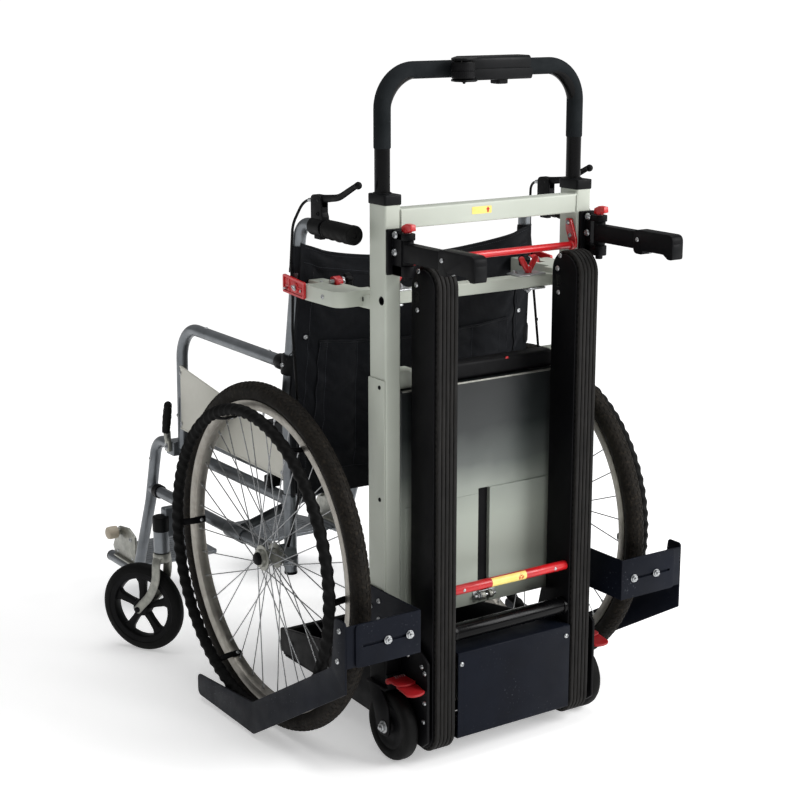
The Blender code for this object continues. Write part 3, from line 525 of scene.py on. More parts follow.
SILVER = painted("silver_tube", C(100, 104, 108), C(124, 128, 132), 0.34, 0.5, 0.72, peel=1200.0, depth=0.08, blotch=22.0,
                 rub=(C(170, 173, 177), 0.25, 0.0008))
PALE = plated("cast_silver", C(128, 129, 123), C(160, 160, 152), 0.38, 70.0, metal=0.75)
ALLOY = plated("rim_alloy", C(146, 142, 134), C(172, 168, 160), 0.40, 45.0, metal=0.85)
ZINC = plated("bright_steel", C(158, 160, 162), C(192, 194, 195), 0.34, 90.0)
SPOKE = plated("spoke_wire", C(130, 132, 134), C(170, 171, 172), 0.30, 120.0)
CREAM = grained("cream_vinyl", C(200, 199, 189), C(214, 213, 204), 0.55, 0.32, 1100.0, 0.24, 7.0)
BEIGE = grained("beige_roller", C(168, 157, 139), C(190, 180, 162), 0.50, 0.36, 900.0, 0.16, 25.0)
YELLOW = painted("yellow_film", C(236, 210, 108), C(242, 219, 130), 0.40, 0.40, peel=300.0, depth=0.06, blotch=60.0)
ARROW = painted("red_film", C(178, 24, 22), C(196, 34, 28), 0.40, 0.40, peel=300.0, depth=0.06, blotch=60.0)


def track_rubber():
    """Ribbed belt: crests lightened grey, part scuffing and part painted highlight; furrows dark."""
    s = Surf("track_rubber", 0.64, 0.0, 0.13)
    streak = s.noise(60.0, 5.0, 0.65, (3.0, 3.0, 0.16))
    col = s.ramp(streak, (0.30, C(18, 18, 18)), (0.62, C(32, 31, 30)), (0.80, C(48, 46, 44)))
    # rib-edge lightening: scuffs together with a painted highlight along the crests
    worn = s.math("MULTIPLY", s.edge(0.0016), s.level(s.noise(70.0, 4.0, 0.6), 0.25, 1.0, 0.35, 0.6))
    s.color(s.mix(s.math("MULTIPLY", worn, 0.45), col, C(78, 75, 71)))
    s.rough(s.level(s.noise(40.0), 0.56, 0.76, 0.3, 0.7))
    s.bump((s.noise(420.0, 3.0, 0.6), 0.30, 0.0005), (s.noise(36.0, 3.0, 0.6), 0.25, 0.0012))
    return s.m


def tyre_rubber():
    """Brown-black tyre with dusty tread."""
    s = Surf("tyre_rubber", 0.74, 0.0, 0.14)
    col = s.ramp(s.noise(24.0, 5.0, 0.65), (0.30, C(18, 16, 14)), (0.72, C(31, 28, 24)))
    dusty = s.ramp(s.noise(190.0, 3.0, 0.6), (0.52, (0, 0, 0)), (0.72, (1, 1, 1)))
    s.color(s.mix(s.math("MULTIPLY", dusty, 0.35), col, C(70, 62, 52)))
    s.rough(s.level(s.noise(60.0), 0.66, 0.84, 0.3, 0.7))
    s.bump((s.noise(700.0, 3.0, 0.6), 0.4, 0.0004))
    return s.m


def panel_painted_shade():
    """Grey case front with painted shade and a painted dark reflection, growing darker towards its top."""
    s = Surf("case_front_painted_shade", 0.34, 0.05, 0.45)
    x, y, z = s.xyz()
    drift = s.math("MULTIPLY", s.math("SUBTRACT", s.noise(7.0, 3.0, 0.6), 0.5), 0.05)
    # painted shade and reflection: the grey darkens with height up the case front
    shade_fall = s.level(s.math("ADD", z, drift), 0.0, 1.0, 0.235, 0.627)
    col = s.ramp(shade_fall, (0.0, C(150, 156, 146)), (0.40, C(154, 160, 150)), (0.52, C(136, 142, 134)), (0.64, C(84, 89, 86)),
                 (0.80, C(38, 42, 42)), (1.0, C(24, 27, 28)))
    s.color(col)
    s.rough(s.level(s.noise(30.0), 0.28, 0.42, 0.3, 0.7))
    s.bump((s.noise(900.0, 2.0, 0.5), 0.10, 0.0004))
    return s.m


def nylon(name="black_nylon", dark=(8, 9, 12), light=(16, 18, 22)):
    """Woven nylon: basket weave, soft sheen and faint creases."""
    s = Surf(name, 0.70, 0.0, 0.10)
    warp, weft = s.wave(118.0, "X"), s.wave(118.0, "Z")
    depth = s.wave(118.0, "Y")
    weave = s.math("MULTIPLY", s.math("ADD", warp, 0.15), s.math("ADD", s.math("MAXIMUM", weft, depth), 0.15))
    slow = s.noise(11.0, 5.0, 0.6)
    base = s.ramp(slow, (0.28, C(*dark)), (0.75, C(*light)))
    s.color(s.mix(s.math("MULTIPLY", weave, 0.22), base, C(34, 36, 42)))
    s.rough(s.level(s.noise(26.0), 0.56, 0.76, 0.3, 0.7))
    s.bump((weave, 0.35, 0.0005), (s.noise(30.0, 4.0, 0.6), 0.22, 0.0025), (s.noise(9.0, 3.0, 0.55), 0.25, 0.006))
    s.b.inputs["Sheen Weight"].default_value = 0.08
    s.b.inputs["Sheen Roughness"].default_value = 0.45
    return s.m


TRACK = track_rubber()
TYRE = tyre_rubber()
# case front material carries painted shade and reflection towards its top
CASE_SHADED = panel_painted_shade()
NYLON = nylon()
THREAD = grained("sewing_thread", C(40, 42, 48), C(58, 60, 66), 0.7, 0.3, 2600.0, 0.4)


# ---------------------------------------------------------------- mast
IN, OUT, MD = 0.179, 0.209, 0.046
for side, s in SIDES:
    tube_sec = rounded([(s * IN, 0), (s * OUT, 0), (s * OUT, MD), (s * IN, MD)], 0.0040, 5)
    mast = prism(tube_sec, "z", 0.1296, 0.9292)
    hole = rod((s * OUT, 0.0104, 0.7780), (s, 0, 0), 0.0064, -0.0140, 0.004, 32, 0)
    piece(f"upright_{side}", cut(mast, hole), GREY, "carrier_frame", f"upright_{side}")
    grommet = lathe([(0.0054, -0.0060), (0.0054, 0.0002), (0.0060, 0.0006), (0.0068, 0.0005), (0.0072, 0.0000), (0.0064, -0.0004), (0.0063, -0.0060)],
                    (s * OUT, 0.0104, 0.7780), (s, 0, 0), 36, closed=True)
    piece(f"upright_grommet_{side}", merge(grommet, rod((s * OUT, 0.0104, 0.7780), (s, 0, 0), 0.0062, -0.0138, -0.0062, 28, 0.0004)), BLACK, "carrier_frame")
    # black foot sleeve round the bottom of the tube
    foot = prism(rounded([(s * (IN - 0.0001), -0.0012), (s * (OUT + 0.0012), -0.0012), (s * (OUT + 0.0012), MD + 0.0012), (s * (IN - 0.0001), MD + 0.0012)], 0.0040, 5),
                 "z", 0.1298, 0.2256, 0.0006)
    piece(f"upright_foot_{side}", foot, BLACK, "carrier_frame")
    # thicker lower sleeve on the outer side, folded round to the rear
    x0, x1 = s * (OUT + 0.0001), s * (OUT + 0.0022)
    sleeve = prism(rounded([(0.0005, 0.2320), (0.0005, 0.6500), (MD + 0.0004, 0.6500), (MD + 0.0004, 0.2320)], 0.0012, 2), "x", x0, x1, 0.0005)
    piece(f"upright_sleeve_{side}", sleeve, GREY, "carrier_frame")
    screws = [pan_screw((s * (OUT + 0.0022), 0.0135, z), (s, 0, 0), 0.0036, 0.0016) for z in (0.6370, 0.4500, 0.2600)]
    piece(f"sleeve_screws_{side}", merge(*screws), BLACK, "carrier_frame")
    # plastic collar with a raised ring round the leg
    collar = prism(rounded([(s * (IN - 0.0015), -0.0015), (s * (OUT + 0.0015), -0.0015), (s * (OUT + 0.0015), MD + 0.0015),
                            (s * (IN - 0.0015), MD + 0.0015)], 0.0040, 5), "z", 0.9290, 0.9455, 0.0016, 3)
    ring = tube((s * 0.194, 0.030, 0), (0, 0, 1), 0.0150, 0.0132, 0.9450, 0.9468, 40)
    piece(f"collar_{side}", merge(cut(collar, rod((s * 0.194, 0.030, 0), (0, 0, 1), 0.0131, 0.90, 0.97, 40, 0)), ring), SATIN, "carrier_frame")

bar = prism(rounded([(0.0, 0.8910), (0.0300, 0.8910), (0.0300, 0.9226), (0.0, 0.9226)], 0.0032, 5), "x", -IN - 0.0004, IN + 0.0004)
piece("top_crossbar", bar, GREY, "carrier_frame", "top_crossbar")


def weld(points, r, step=0.0028):
    """Bead of overlapping drops along a line."""
    pts = [V(p) for p in points]
    dense, rad = [], []
    for a, b in zip(pts, pts[1:]):
        n = max(2, int((b - a).length / step))
        for k in range(n * 4):
            t = k / (n * 4)
            dense.append(a.lerp(b, t))
            rad.append(r * (0.80 + 0.26 * abs(math.sin(math.pi * (k / 4.0 + 0.35 * math.sin(k * 1.7))))))
    dense.append(pts[-1])
    rad.append(r * 0.7)
    return pipe(dense, rad, 10)


beads = []
for _, s in SIDES:
    x = s * (IN - 0.0006)
    beads.append(weld([(x, -0.0002, 0.8935), (x, -0.0002, 0.9205)], 0.0021))
    beads.append(weld([(x, 0.002, 0.9222), (x, 0.028, 0.9222)], 0.0019))
    beads.append(weld([(x, 0.002, 0.8912), (x, 0.028, 0.8912)], 0.0019))
piece("crossbar_welds", merge(*beads), GREY, "carrier_frame", angle=60)


def arrow(x, z, h, y, thick, lean=0.0):
    """Plain upward arrow lying on a face that looks to the rear."""
    w = h * 0.44
    out = [(-w, 0.02), (0, 0.52), (w, 0.02), (w * 0.42, 0.02), (w * 0.42, -0.48), (-w * 0.42, -0.48), (-w * 0.42, 0.02)]
    return [(x + a, z + b * h) for a, b in out]


label = prism(rounded([(-0.0406, 0.9040), (-0.0010, 0.9040), (-0.0010, 0.9158), (-0.0406, 0.9158)], 0.0018, 4), "y", -0.0004, 0.0)
piece("crossbar_label", label, YELLOW, "carrier_frame")
piece("crossbar_label_arrow", prism(arrow(-0.0085, 0.9099, 0.0088, 0, 0), "y", -0.0006, -0.0002), ARROW, "carrier_frame")

# padded bar over the battery case
pad_sec = rounded([(0.014, 0.6285), (0.046, 0.6285), (0.046, 0.6580), (0.014, 0.6580)], 0.0075, 6)
rings = []
for k in range(25):
    t = k / 24
    x = -IN + GAP + (2 * IN - 2 * GAP) * t
    end = min(t, 1 - t)
    f = 1 - 0.10 * math.exp(-end * 60)
    rings.append((V((x, 0.030, 0.64325)), V((0, f, 0)), V((0, 0, f))))
pad = piece("crossbar_pad", sweep([(y - 0.030, z - 0.64325) for y, z in pad_sec], rings), PLASTIC, "carrier_frame", "crossbar_pad")
ends = [prism(rounded([(0.0132, 0.6284), (0.0468, 0.6284), (0.0468, 0.6590), (0.0132, 0.6590)], 0.0050, 5), "x", s * 0.1420, s * (IN - GAP), 0.0008) for _, s in SIDES]
piece("crossbar_pad_ends", merge(*ends), GREY, "carrier_frame")
piece("pad_tag", rbox(0.0430, 0.0492, 0.0136, 0.0146, 0.6535, 0.6572, 0.0004), RED, "carrier_frame")

# ---------------------------------------------------------------- battery case
case = cut(rbox(-0.1785, 0.1785, 0.0030, 0.0980, 0.2350, 0.6270, 0.0030, 4),
           rbox(-0.0190, 0.0030, -0.02, 0.0090, 0.2500, 0.4400, 0.0012, 2))
piece("battery_housing", case, CASE_SHADED, "carrier_frame", "battery_housing")
trim = [rbox(-0.1740, 0.1740, 0.0014, 0.0060, 0.6252, 0.6278, 0.0005, 2)]
piece("case_top_rim", merge(*trim), PALE, "carrier_frame")
# front sheet standing proud beside the finger slot, and the strip left of it
sheets = [prism(rounded([(0.0034, 0.2360), (0.1690, 0.2360), (0.1690, 0.4390), (0.0034, 0.4390)], 0.0020, 3), "y", 0.0008, 0.0032, 0.0005),
          prism(rounded([(-0.1690, 0.2360), (-0.0194, 0.2360), (-0.0194, 0.4310), (-0.1690, 0.4310)], 0.0020, 3), "y", 0.0018, 0.0032, 0.0005)]
piece("case_front_sheets", merge(*sheets), CASE_SHADED, "carrier_frame")
# black sheet on the floor of the finger slot: painted shade inside the slot
piece("case_slot_shade", rbox(-0.0188, 0.0028, 0.0072, 0.0092, 0.2503, 0.4397, 0.0004, 1), BLACK, "carrier_frame")
# spacer rollers and their bolt under the case
sp = [rod((0, -0.0040, 0.2510), (1, 0, 0), 0.0072, a, b, 28, 0.0012) for a, b in ((-0.0185, -0.0090), (-0.0020, 0.0070))]
piece("case_spacers", merge(*sp), PALE, "carrier_frame")
piece("case_spacer_bolt", merge(rod((0, -0.0040, 0.2510), (1, 0, 0), 0.0032, -0.030, 0.014, 16),
                                hex_bolt((-0.0200, -0.0040, 0.2510), (-1, 0, 0), 0.0056, 0.0045),
                                rbox(-0.030, 0.016, 0.0000, 0.0032, 0.2440, 0.2580, 0.0008)), ZINC, "carrier_frame")

# ---------------------------------------------------------------- clamp that holds the chair's back posts
cl = prism(rounded([(0.0660, 0.7575), (0.0920, 0.7575), (0.0920, 0.7785), (0.0660, 0.7785)], 0.0022, 4), "x", -0.2040, 0.2040)
castings = []
for _, s in SIDES:
    outline = rounded([(s * 0.1830, 0.0680), (s * 0.2555, 0.0680), (s * 0.2555, 0.1692), (s * 0.2275, 0.1692),
                       (s * 0.2275, 0.2040), (s * 0.1975, 0.2040), (s * 0.1975, 0.0900), (s * 0.1830, 0.0900)],
                      [0.001, 0.022, 0.0025, 0.001, 0.0045, 0.0045, 0.010, 0.001], 9)
    arm = prism(outline, "z", 0.7610, 0.7870, 0.0016, 3)
    socket = rod((0, 0.1542, 0.7770), (s, 0, 0), 0.0044, 0.1845, 0.2285, 24, 0)
    slot = box(s * 0.2055, s * 0.2195, 0.1302, 0.1532, 0.7828, 0.80)
    castings.append(cut(arm, socket, slot))
    castings.append(rbox(s * 0.1810, s * 0.2070, MD + GAP, 0.0700, 0.7585, 0.7775, 0.001))
piece("clamp_bar", merge(cl, *castings), GREY, "carrier_frame", "clamp_bar")
dark, zinc, reds, creams = [], [], [], []
for _, s in SIDES:
    dark.append(rbox(s * 0.1960, s * 0.2090, 0.0655, 0.0664, 0.7690, 0.7762, 0.0003, 1))
    dark.append(rbox(s * 0.2057, s * 0.2193, 0.1304, 0.1530, 0.7822, 0.7830, 0.0002, 1))
    zinc.append(pan_screw((s * 0.2555, 0.1120, 0.7745), (s, 0, 0), 0.0040, 0.0020))
    zinc.append(pan_screw((s * 0.2195, 0.1732, 0.7870), (0, 0, 1), 0.0032, 0.0016))
    # plates and bridge under the wing screws
    zinc.append(prism(rounded([(s * 0.1090, 0.0650), (s * 0.1700, 0.0650), (s * 0.1700, 0.1120), (s * 0.1500, 0.1180), (s * 0.1090, 0.1000)], 0.004, 4),
                      "z", 0.7786, 0.7806, 0.0005))
    zinc.append(hex_bolt((s * 0.1180, 0.0900, 0.7806), (0, 0, 1), 0.0042, 0.0034))
    zinc.append(rod((s * 0.140, 0.079, 0), (0, 0, 1), 0.0042, 0.7480, 0.7790, 20))
    zinc.append(prism(rounded([(s * 0.1300, 0.0635), (s * 0.1680, 0.0635), (s * 0.1680, 0.0945), (s * 0.1300, 0.0945)], 0.003, 3), "z", 0.7540, 0.7572, 0.0004))
    zinc.append(hex_bolt((s * 0.140, 0.079, 0.7540), (0, 0, -1), 0.0060, 0.0045))
    # wedge that locks the jaw's slide
    wedge = prism(rounded([(0.1380, 0.7850), (0.1580, 0.7850), (0.1580, 0.7960), (0.1500, 0.7985), (0.1400, 0.7945)], 0.0015, 3), "x", s * 0.1985, s * 0.2120, 0.0006)
    reds.append(wedge)
piece("clamp_shadow_slots", merge(*dark), BLACK, "carrier_frame")
piece("clamp_hardware", merge(*zinc), ZINC, "carrier_frame")
piece("clamp_wedges", merge(*reds), RED, "carrier_frame")

for side, s in SIDES:
    block = rbox(s * 0.2290, s * 0.2585, 0.1697, 0.1922, 0.7650, 0.7830, 0.0015)
    piece(f"jaw_slide_{side}", block, CREAM, f"clamp_jaw_{side}")
    face = rounded([(0.1617, 0.7630), (0.2287, 0.7670), (0.2287, 0.7970), (0.1617, 0.7905)], 0.003, 5)
    plate = prism(face, "x", s * 0.2563, s * 0.2595, 0.0008)
    # raised rim, cross rib and the boss of the wing bolt
    rim_o, rim_i = face, rounded([(0.1652, 0.7665), (0.2252, 0.7702), (0.2252, 0.7934), (0.1652, 0.7872)], 0.002, 5)
    bm = bmesh.new()
    rr = [[bm.verts.new((x, p[0], p[1])) for p in q] for q, x in ((rim_o, s * 0.2590), (rim_o, s * 0.2613), (rim_i, s * 0.2613), (rim_i, s * 0.2590))]
    for a in range(4):
        q, w = rr[a], rr[(a + 1) % 4]
        for k in range(len(q)):
            bm.faces.new((q[k], q[(k + 1) % len(q)], w[(k + 1) % len(q)], w[k]))
    boss = rod((0, 0.1888, 0.7785), (s, 0, 0), 0.0085, 0.2585, 0.2613, 28, 0.0008)
    ribs = [rbox(s * 0.2590, s * 0.2609, 0.1692, 0.2212, 0.7775, 0.7805, 0.0006), rbox(s * 0.2590, s * 0.2609, 0.2077, 0.2107, 0.7700, 0.7930, 0.0006)]
    piece(f"clamp_jaw_{side}", merge(plate, bm, boss, *ribs), RED, f"clamp_jaw_{side}", f"clamp_jaw_{side}")
    wing = merge(rod((0, 0.1888, 0.7785), (s, 0, 0), 0.0042, 0.2605, 0.2645, 20),
                 pipe([(s * 0.2635, 0.1832, 0.7755), (s * 0.2643, 0.1862, 0.7772), (s * 0.2643, 0.1914, 0.7798), (s * 0.2635, 0.1944, 0.7815)],
                      [0.0014, 0.0024, 0.0024, 0.0014], 12),
                 rod((0, 0.2172, 0.7745), (s, 0, 0), 0.0022, 0.2570, 0.2665, 14), pan_screw((s * 0.2609, 0.1732, 0.7750), (s, 0, 0), 0.0024, 0.0012))
    piece(f"jaw_bolts_{side}", wing, ZINC, f"clamp_jaw_{side}")
    # five-lobed hand knob
    def lobes(t, r, a):
        return 1.0 + 0.16 * math.cos(5 * t) if r > 0.0085 else 1.0
    c, ax = (s * 0.1975, 0.1480, 0.7900), (-s, 0, 0)
    knob = lathe([(0, 0.0050), (0.0060, 0.0050), (0.0088, 0.0056), (0.0105, 0.0066), (0.0108, 0.0085), (0.0108, 0.0145), (0.0104, 0.0165),
                  (0.0090, 0.0184), (0.0062, 0.0190), (0.0050, 0.0182), (0, 0.0180)], c, ax, 60, wob=lobes)
    piece(f"clamp_knob_{side}", knob, SATIN, f"clamp_knob_{side}", f"clamp_knob_{side}", angle=50)
    thread = []
    for k in range(17):
        a = -0.0206 + 0.0012 * k
        thread += [(0.0036, a), (0.0041, a + 0.0006)]
    stud = lathe([(0, -0.0216), (0.0030, -0.0216)] + thread + [(0.0036, 0.0006), (0.0070, 0.0008), (0.0070, 0.0050), (0, 0.0050)], c, ax, 20)
    piece(f"clamp_knob_stud_{side}", stud, ZINC, f"clamp_knob_{side}")
    # wing screw: hub with two ears
    wx, wy, wz = s * 0.140, 0.0790, 0.7785
    hub = lathe([(0, wz + 0.0015), (0.0058, wz + 0.0015), (0.0062, wz + 0.0022), (0.0062, wz + 0.0110), (0.0050, wz + 0.0140), (0.0030, wz + 0.0150), (0, wz + 0.0150)],
                (wx, wy, 0), (0, 0, 1), 28)
    ears = []
    for e in (-1, 1):
        ear = rounded([(wx + e * 0.001, wz + 0.005), (wx + e * 0.006, wz + 0.005), (wx + e * 0.0215, wz + 0.0285), (wx + e * 0.0135, wz + 0.0335),
                       (wx + e * 0.001, wz + 0.0150)], [0, 0.002, 0.0035, 0.0035, 0], 5)
        ears.append(prism(ear, "y", wy - 0.0028, wy + 0.0028, 0.0012, 3))
    piece(f"wing_screw_{side}", merge(hub, *ears), RED, f"wing_screw_{side}", f"wing_screw_{side}")
    piece(f"wing_screw_stud_{side}", merge(hex_bolt((wx, wy, wz + 0.0022), (0, 0, 1), 0.0064, 0.0026, 1.25), rivet((wx, wy, wz + 0.0150), (0, 0, 1), 0.0030, 0.0016)),
          ZINC, f"wing_screw_{side}")

# ---------------------------------------------------------------- push handle
LEGX, LEGY, HZ, BEND = 0.194, 0.030, 1.134, 0.068
full = fillet([(-LEGX, LEGY, 0.62), (-LEGX, LEGY, HZ), (LEGX, LEGY, HZ), (LEGX, LEGY, 0.62)], BEND, 16)
piece("handle_bar", pipe([p for p in full], 0.0126, 36), GLOSS, "push_handle", "handle_bar")
foam_line = fillet([(-LEGX, LEGY, 1.015), (-LEGX, LEGY, HZ), (LEGX, LEGY, HZ), (LEGX, LEGY, 1.015)], BEND, 16)
pts, rad = [], []
for i, p in enumerate(foam_line):
    if i == 0 or i == len(foam_line) - 1:
        d = V((0, 0, 1))
        steps = [(0.0, 0.0128), (0.0003, 0.0132), (0.0012, 0.0137), (0.0030, 0.0138)]
        run = [(p + d * a, r) for a, r in steps]
        if i:
            run.reverse()
        for q, r in run:
            pts.append(q)
            rad.append(r)
    else:
        pts.append(p)
        rad.append(0.0138)
foam = piece("handle_foam", pipe(pts, rad, 40), FOAM, "push_handle")
piece("height_pin", merge(rivet((LEGX + 0.0121, LEGY, 0.9614), (1, 0, 0), 0.0036, 0.0010), rod((LEGX, LEGY, 0.9614), (1, 0, 0), 0.0044, 0.0100, 0.0124, 24)),
      SATIN, "push_handle")

# control box: two shells with a seam, lid lips round the speed dial
BX0, BX1, BY0, BY1, BZ0, BZ1 = -0.0400, 0.0870, 0.0100, 0.0500, 1.1150, 1.1530
KX, KY, KR = -0.0660, -0.0075, 0.0185
SEAM = 1.1335
sec_lo = rounded([(BY0, BZ0), (BY1, BZ0), (BY1, SEAM - 0.0005), (BY0, SEAM - 0.0005)], [0.006, 0.006, 0.0008, 0.0008], 5)
sec_hi = rounded([(BY0 - 0.0005, SEAM + 0.0005), (BY1, SEAM + 0.0005), (BY1, BZ1), (BY0 - 0.0005, BZ1)], [0.0008, 0.0008, 0.006, 0.007], 5)
sec_in = rounded([(BY0 + 0.0012, BZ0 + 0.004), (BY1 - 0.0012, BZ0 + 0.004), (BY1 - 0.0012, BZ1 - 0.004), (BY0 + 0.0012, BZ1 - 0.004)], 0.003, 3)


def pocket():
    return box(0.0220, 0.0460, 0.0170, 0.0430, BZ0 - 0.01, BZ0 + 0.0045)


shells = [cut(prism(sec_lo, "x", BX0, BX1, 0.0005, 2), pocket()), prism(sec_hi, "x", BX0 - 0.0006, BX1 - 0.0040, 0.0005, 2),
          cut(prism(sec_in, "x", BX0 + 0.001, BX1 - 0.0055), pocket())]
lip = rounded([(BX0 + 0.015, BY0 + 0.002), (BX0 + 0.015, BY1 - 0.006), (BX0 - 0.006, BY1 - 0.006), (KX - KR + 0.006, 0.008), (KX - KR - 0.001, KY - 0.004),
               (KX - 0.011, KY - KR - 0.001), (KX + 0.010, KY - KR - 0.002), (BX0 - 0.002, KY - 0.006)],
              [0, 0, 0.006, 0.008, 0.010, 0.010, 0.012, 0.010], 6)
shells.append(prism(lip, "z", BZ0 + 0.0006, BZ0 + 0.0040, 0.0010, 2))
shells.append(prism(lip, "z", BZ1 - 0.0042, BZ1 - 0.0008, 0.0010, 2))
neck = prism(rounded([(BX0 - 0.0020, 0.0120), (BX0 + 0.010, 0.0120), (BX0 + 0.010, 0.0180), (BX0 - 0.0020, 0.0180)], 0.002, 3), "z", BZ0 + 0.004, BZ1 - 0.004, 0.0006)
piece("control_box", merge(*shells, neck), SATIN, "push_handle", "control_box")
small = [pan_screw((0.075, 0.0430, BZ0), (0, 0, -1), 0.0030, 0.0014), pan_screw((-0.030, 0.0430, BZ0), (0, 0, -1), 0.0030, 0.0014)]
piece("control_box_screws", merge(*small), BLACK, "push_handle")


def knurl(t, r, a):
    return 1.0 - (0.018 * (0.5 + 0.5 * math.cos(36 * t)) if r > 0.0170 and BZ0 + 0.0085 < a < BZ1 - 0.0085 else 0.0)


dial = lathe([(0, BZ0 + 0.0050), (KR - 0.0022, BZ0 + 0.0050), (KR - 0.0006, BZ0 + 0.0058), (KR, BZ0 + 0.0075), (KR, BZ0 + 0.0100), (KR, BZ0 + 0.0165),
              (KR - 0.0008, BZ0 + 0.0170), (KR - 0.0008, BZ0 + 0.0180), (KR, BZ0 + 0.0185), (KR, BZ1 - 0.0100), (KR, BZ1 - 0.0078), (KR - 0.0006, BZ1 - 0.0062),
              (KR - 0.0022, BZ1 - 0.0054), (0, BZ1 - 0.0054)], (KX, KY, 0), (0, 0, 1), 144, wob=knurl)
piece("speed_dial", dial, PLASTIC, "speed_dial", "speed_dial", angle=25)
ticks = [place(rbox(-0.0006, 0.0006, -0.0030, 0.0030, 0, 0.0003, 0.0001, 1), (KX + 0.0136 * math.cos(a), KY + 0.0136 * math.sin(a), BZ1 - 0.0055), (0, 0, 1), a + math.pi / 2)
         for a in [math.radians(225 - 45 * k) for k in range(7)]]
piece("speed_dial_ticks", merge(*ticks), PALE, "speed_dial")
piece("dial_pin", merge(rod((KX + 0.002, KY, 0), (0, 0, 1), 0.0022, BZ0 - 0.0030, BZ0 + 0.001, 18), rod((KX + 0.002, KY, 0), (0, 0, 1), 0.0042, BZ0 - 0.0008, BZ0 + 0.0008, 20)),
      PLASTIC, "push_handle")
button = soften(prism(rounded([(0.0232, 0.0182), (0.0448, 0.0182), (0.0448, 0.0418), (0.0232, 0.0418)], 0.005, 6), "z", BZ0 - 0.0070, BZ0 + 0.0010), 0.0014, 3, 50)
ribs = [rbox(0.0275 + 0.0042 * k, 0.0290 + 0.0042 * k, 0.0225, 0.0375, BZ0 - 0.0076, BZ0 - 0.0066, 0.0004) for k in range(4)]
piece("run_button", merge(button, *ribs), PLASTIC, "run_button", "run_button")

# ---------------------------------------------------------------- folding lifting handles
HY = -0.032
for side, hx in (("left", -0.188), ("right", 0.203)):
    plate = rbox(hx - 0.0200, hx + 0.0100, -0.0065, -GAP, 0.8210, 0.8930, 0.0012)
    knuckles = []
    for z0, z1 in ((0.8210, 0.8378), (0.8782, 0.8888)):
        ear = rounded([(hx - 0.0115, -0.004), (hx + 0.0100, -0.004), (hx + 0.0100, HY - 0.0125), (hx - 0.0115, HY - 0.0125)], [0, 0, 0.010, 0.010], 7)
        knuckles.append(prism(ear, "z", z0, z1, 0.0010, 2))
    web = rbox(hx - 0.0115, hx - 0.0103, -0.0310 if side == "left" else -0.0215, -0.004, 0.8214, 0.8926, 0.0003, 1)
    piece(f"handle_bracket_{side}", merge(plate, *knuckles, web), BLACK, "carrier_frame", f"handle_bracket_{side}")
    scr = [pan_screw((hx - 0.0115, y, z), (-1, 0, 0), 0.0062, 0.0034) for y, z in ((-0.0150, 0.8850), (-0.0132, 0.8576))]
    piece(f"bracket_screws_{side}", merge(*scr), ZINC, "carrier_frame")
    # square arm, moulded grip with a finger hook
    eye = rod((hx, HY, 0), (0, 0, 1), 0.0098, 0.8384, 0.8776, 36, 0.0010)
    arm = rbox(hx - 0.0095, hx + 0.0095, -0.1400, HY, 0.8445, 0.8730, 0.0014)
    piece(f"lifting_arm_{side}", merge(eye, arm), BLACK, f"lifting_handle_{side}")
    prof = rounded([(-0.1290, 0.8372), (-0.1290, 0.8765), (-0.2220, 0.8765), (-0.2220, 0.8365), (-0.2110, 0.8365), (-0.2000, 0.8435), (-0.1520, 0.8435), (-0.1500, 0.8372)],
                   [0.010, 0.009, 0.012, 0.008, 0.005, 0.008, 0.001, 0.005], 7)
    grip = prism(prof, "x", hx - 0.0115, hx + 0.0115, 0.0009, 2)
    piece(f"lifting_handle_{side}", grip, BLACK, f"lifting_handle_{side}", f"lifting_handle_{side}")
    cap = prism(rounded([(-0.2222, 0.8400), (-0.2222, 0.8620), (-0.2196, 0.8620), (-0.2196, 0.8400)], 0.0008, 2), "x", hx - 0.0100, hx + 0.0100, 0.0006)
    piece(f"grip_end_cap_{side}", cap, SATIN, f"lifting_handle_{side}")
    latch = pipe(spline([(hx, -0.1480, 0.8392), (hx, -0.1525, 0.8390), (hx, -0.1570, 0.8408), (hx, -0.1592, 0.8450)], 6), 0.0012, 10)
    piece(f"grip_latch_{side}", latch, ZINC, f"lifting_handle_{side}")
    gs = [pan_screw((hx + e * 0.0115, -0.1385, 0.8605), (e, 0, 0), 0.0038, 0.0016) for e in (-1, 1)]
    piece(f"grip_screws_{side}", merge(*gs), ZINC, f"lifting_handle_{side}")
    pin = rod((hx, HY, 0), (0, 0, 1), 0.0050, 0.8150, 0.8970, 24)
    nut = soften(prism([(hx + a, HY + b) for a, b in hexagon(0.0060, 0.3)], "z", 0.8150, 0.8205), 0.0006, 2, 40)
    piece(f"hinge_pin_{side}", merge(pin, nut), ZINC, f"lock_lever_{side}")
    flag = rounded([(-0.0215, 0.8897), (-0.0310, 0.8895), (-0.0482, 0.8938), (-0.0466, 0.9035), (-0.0330, 0.9040), (-0.0215, 0.8990)], 0.0016, 4)
    lever = prism(flag, "x", hx - 0.0050, hx + 0.0050, 0.0010, 3)
    dome = rod((hx, HY, 0), (0, 0, 1), 0.0064, 0.8892, 0.8940, 30, 0.0008)
    piece(f"lock_lever_{side}", merge(lever, dome), RED, f"lock_lever_{side}", f"lock_lever_{side}")
    foot = lathe([(0, 0.8146), (0.0056, 0.8146), (0.0062, 0.8160), (0.0062, 0.8205), (0, 0.8205)], (hx, HY, 0), (0, 0, 1), 24)
    piece(f"lock_lever_foot_{side}", foot, PLASTIC, f"lock_lever_{side}")

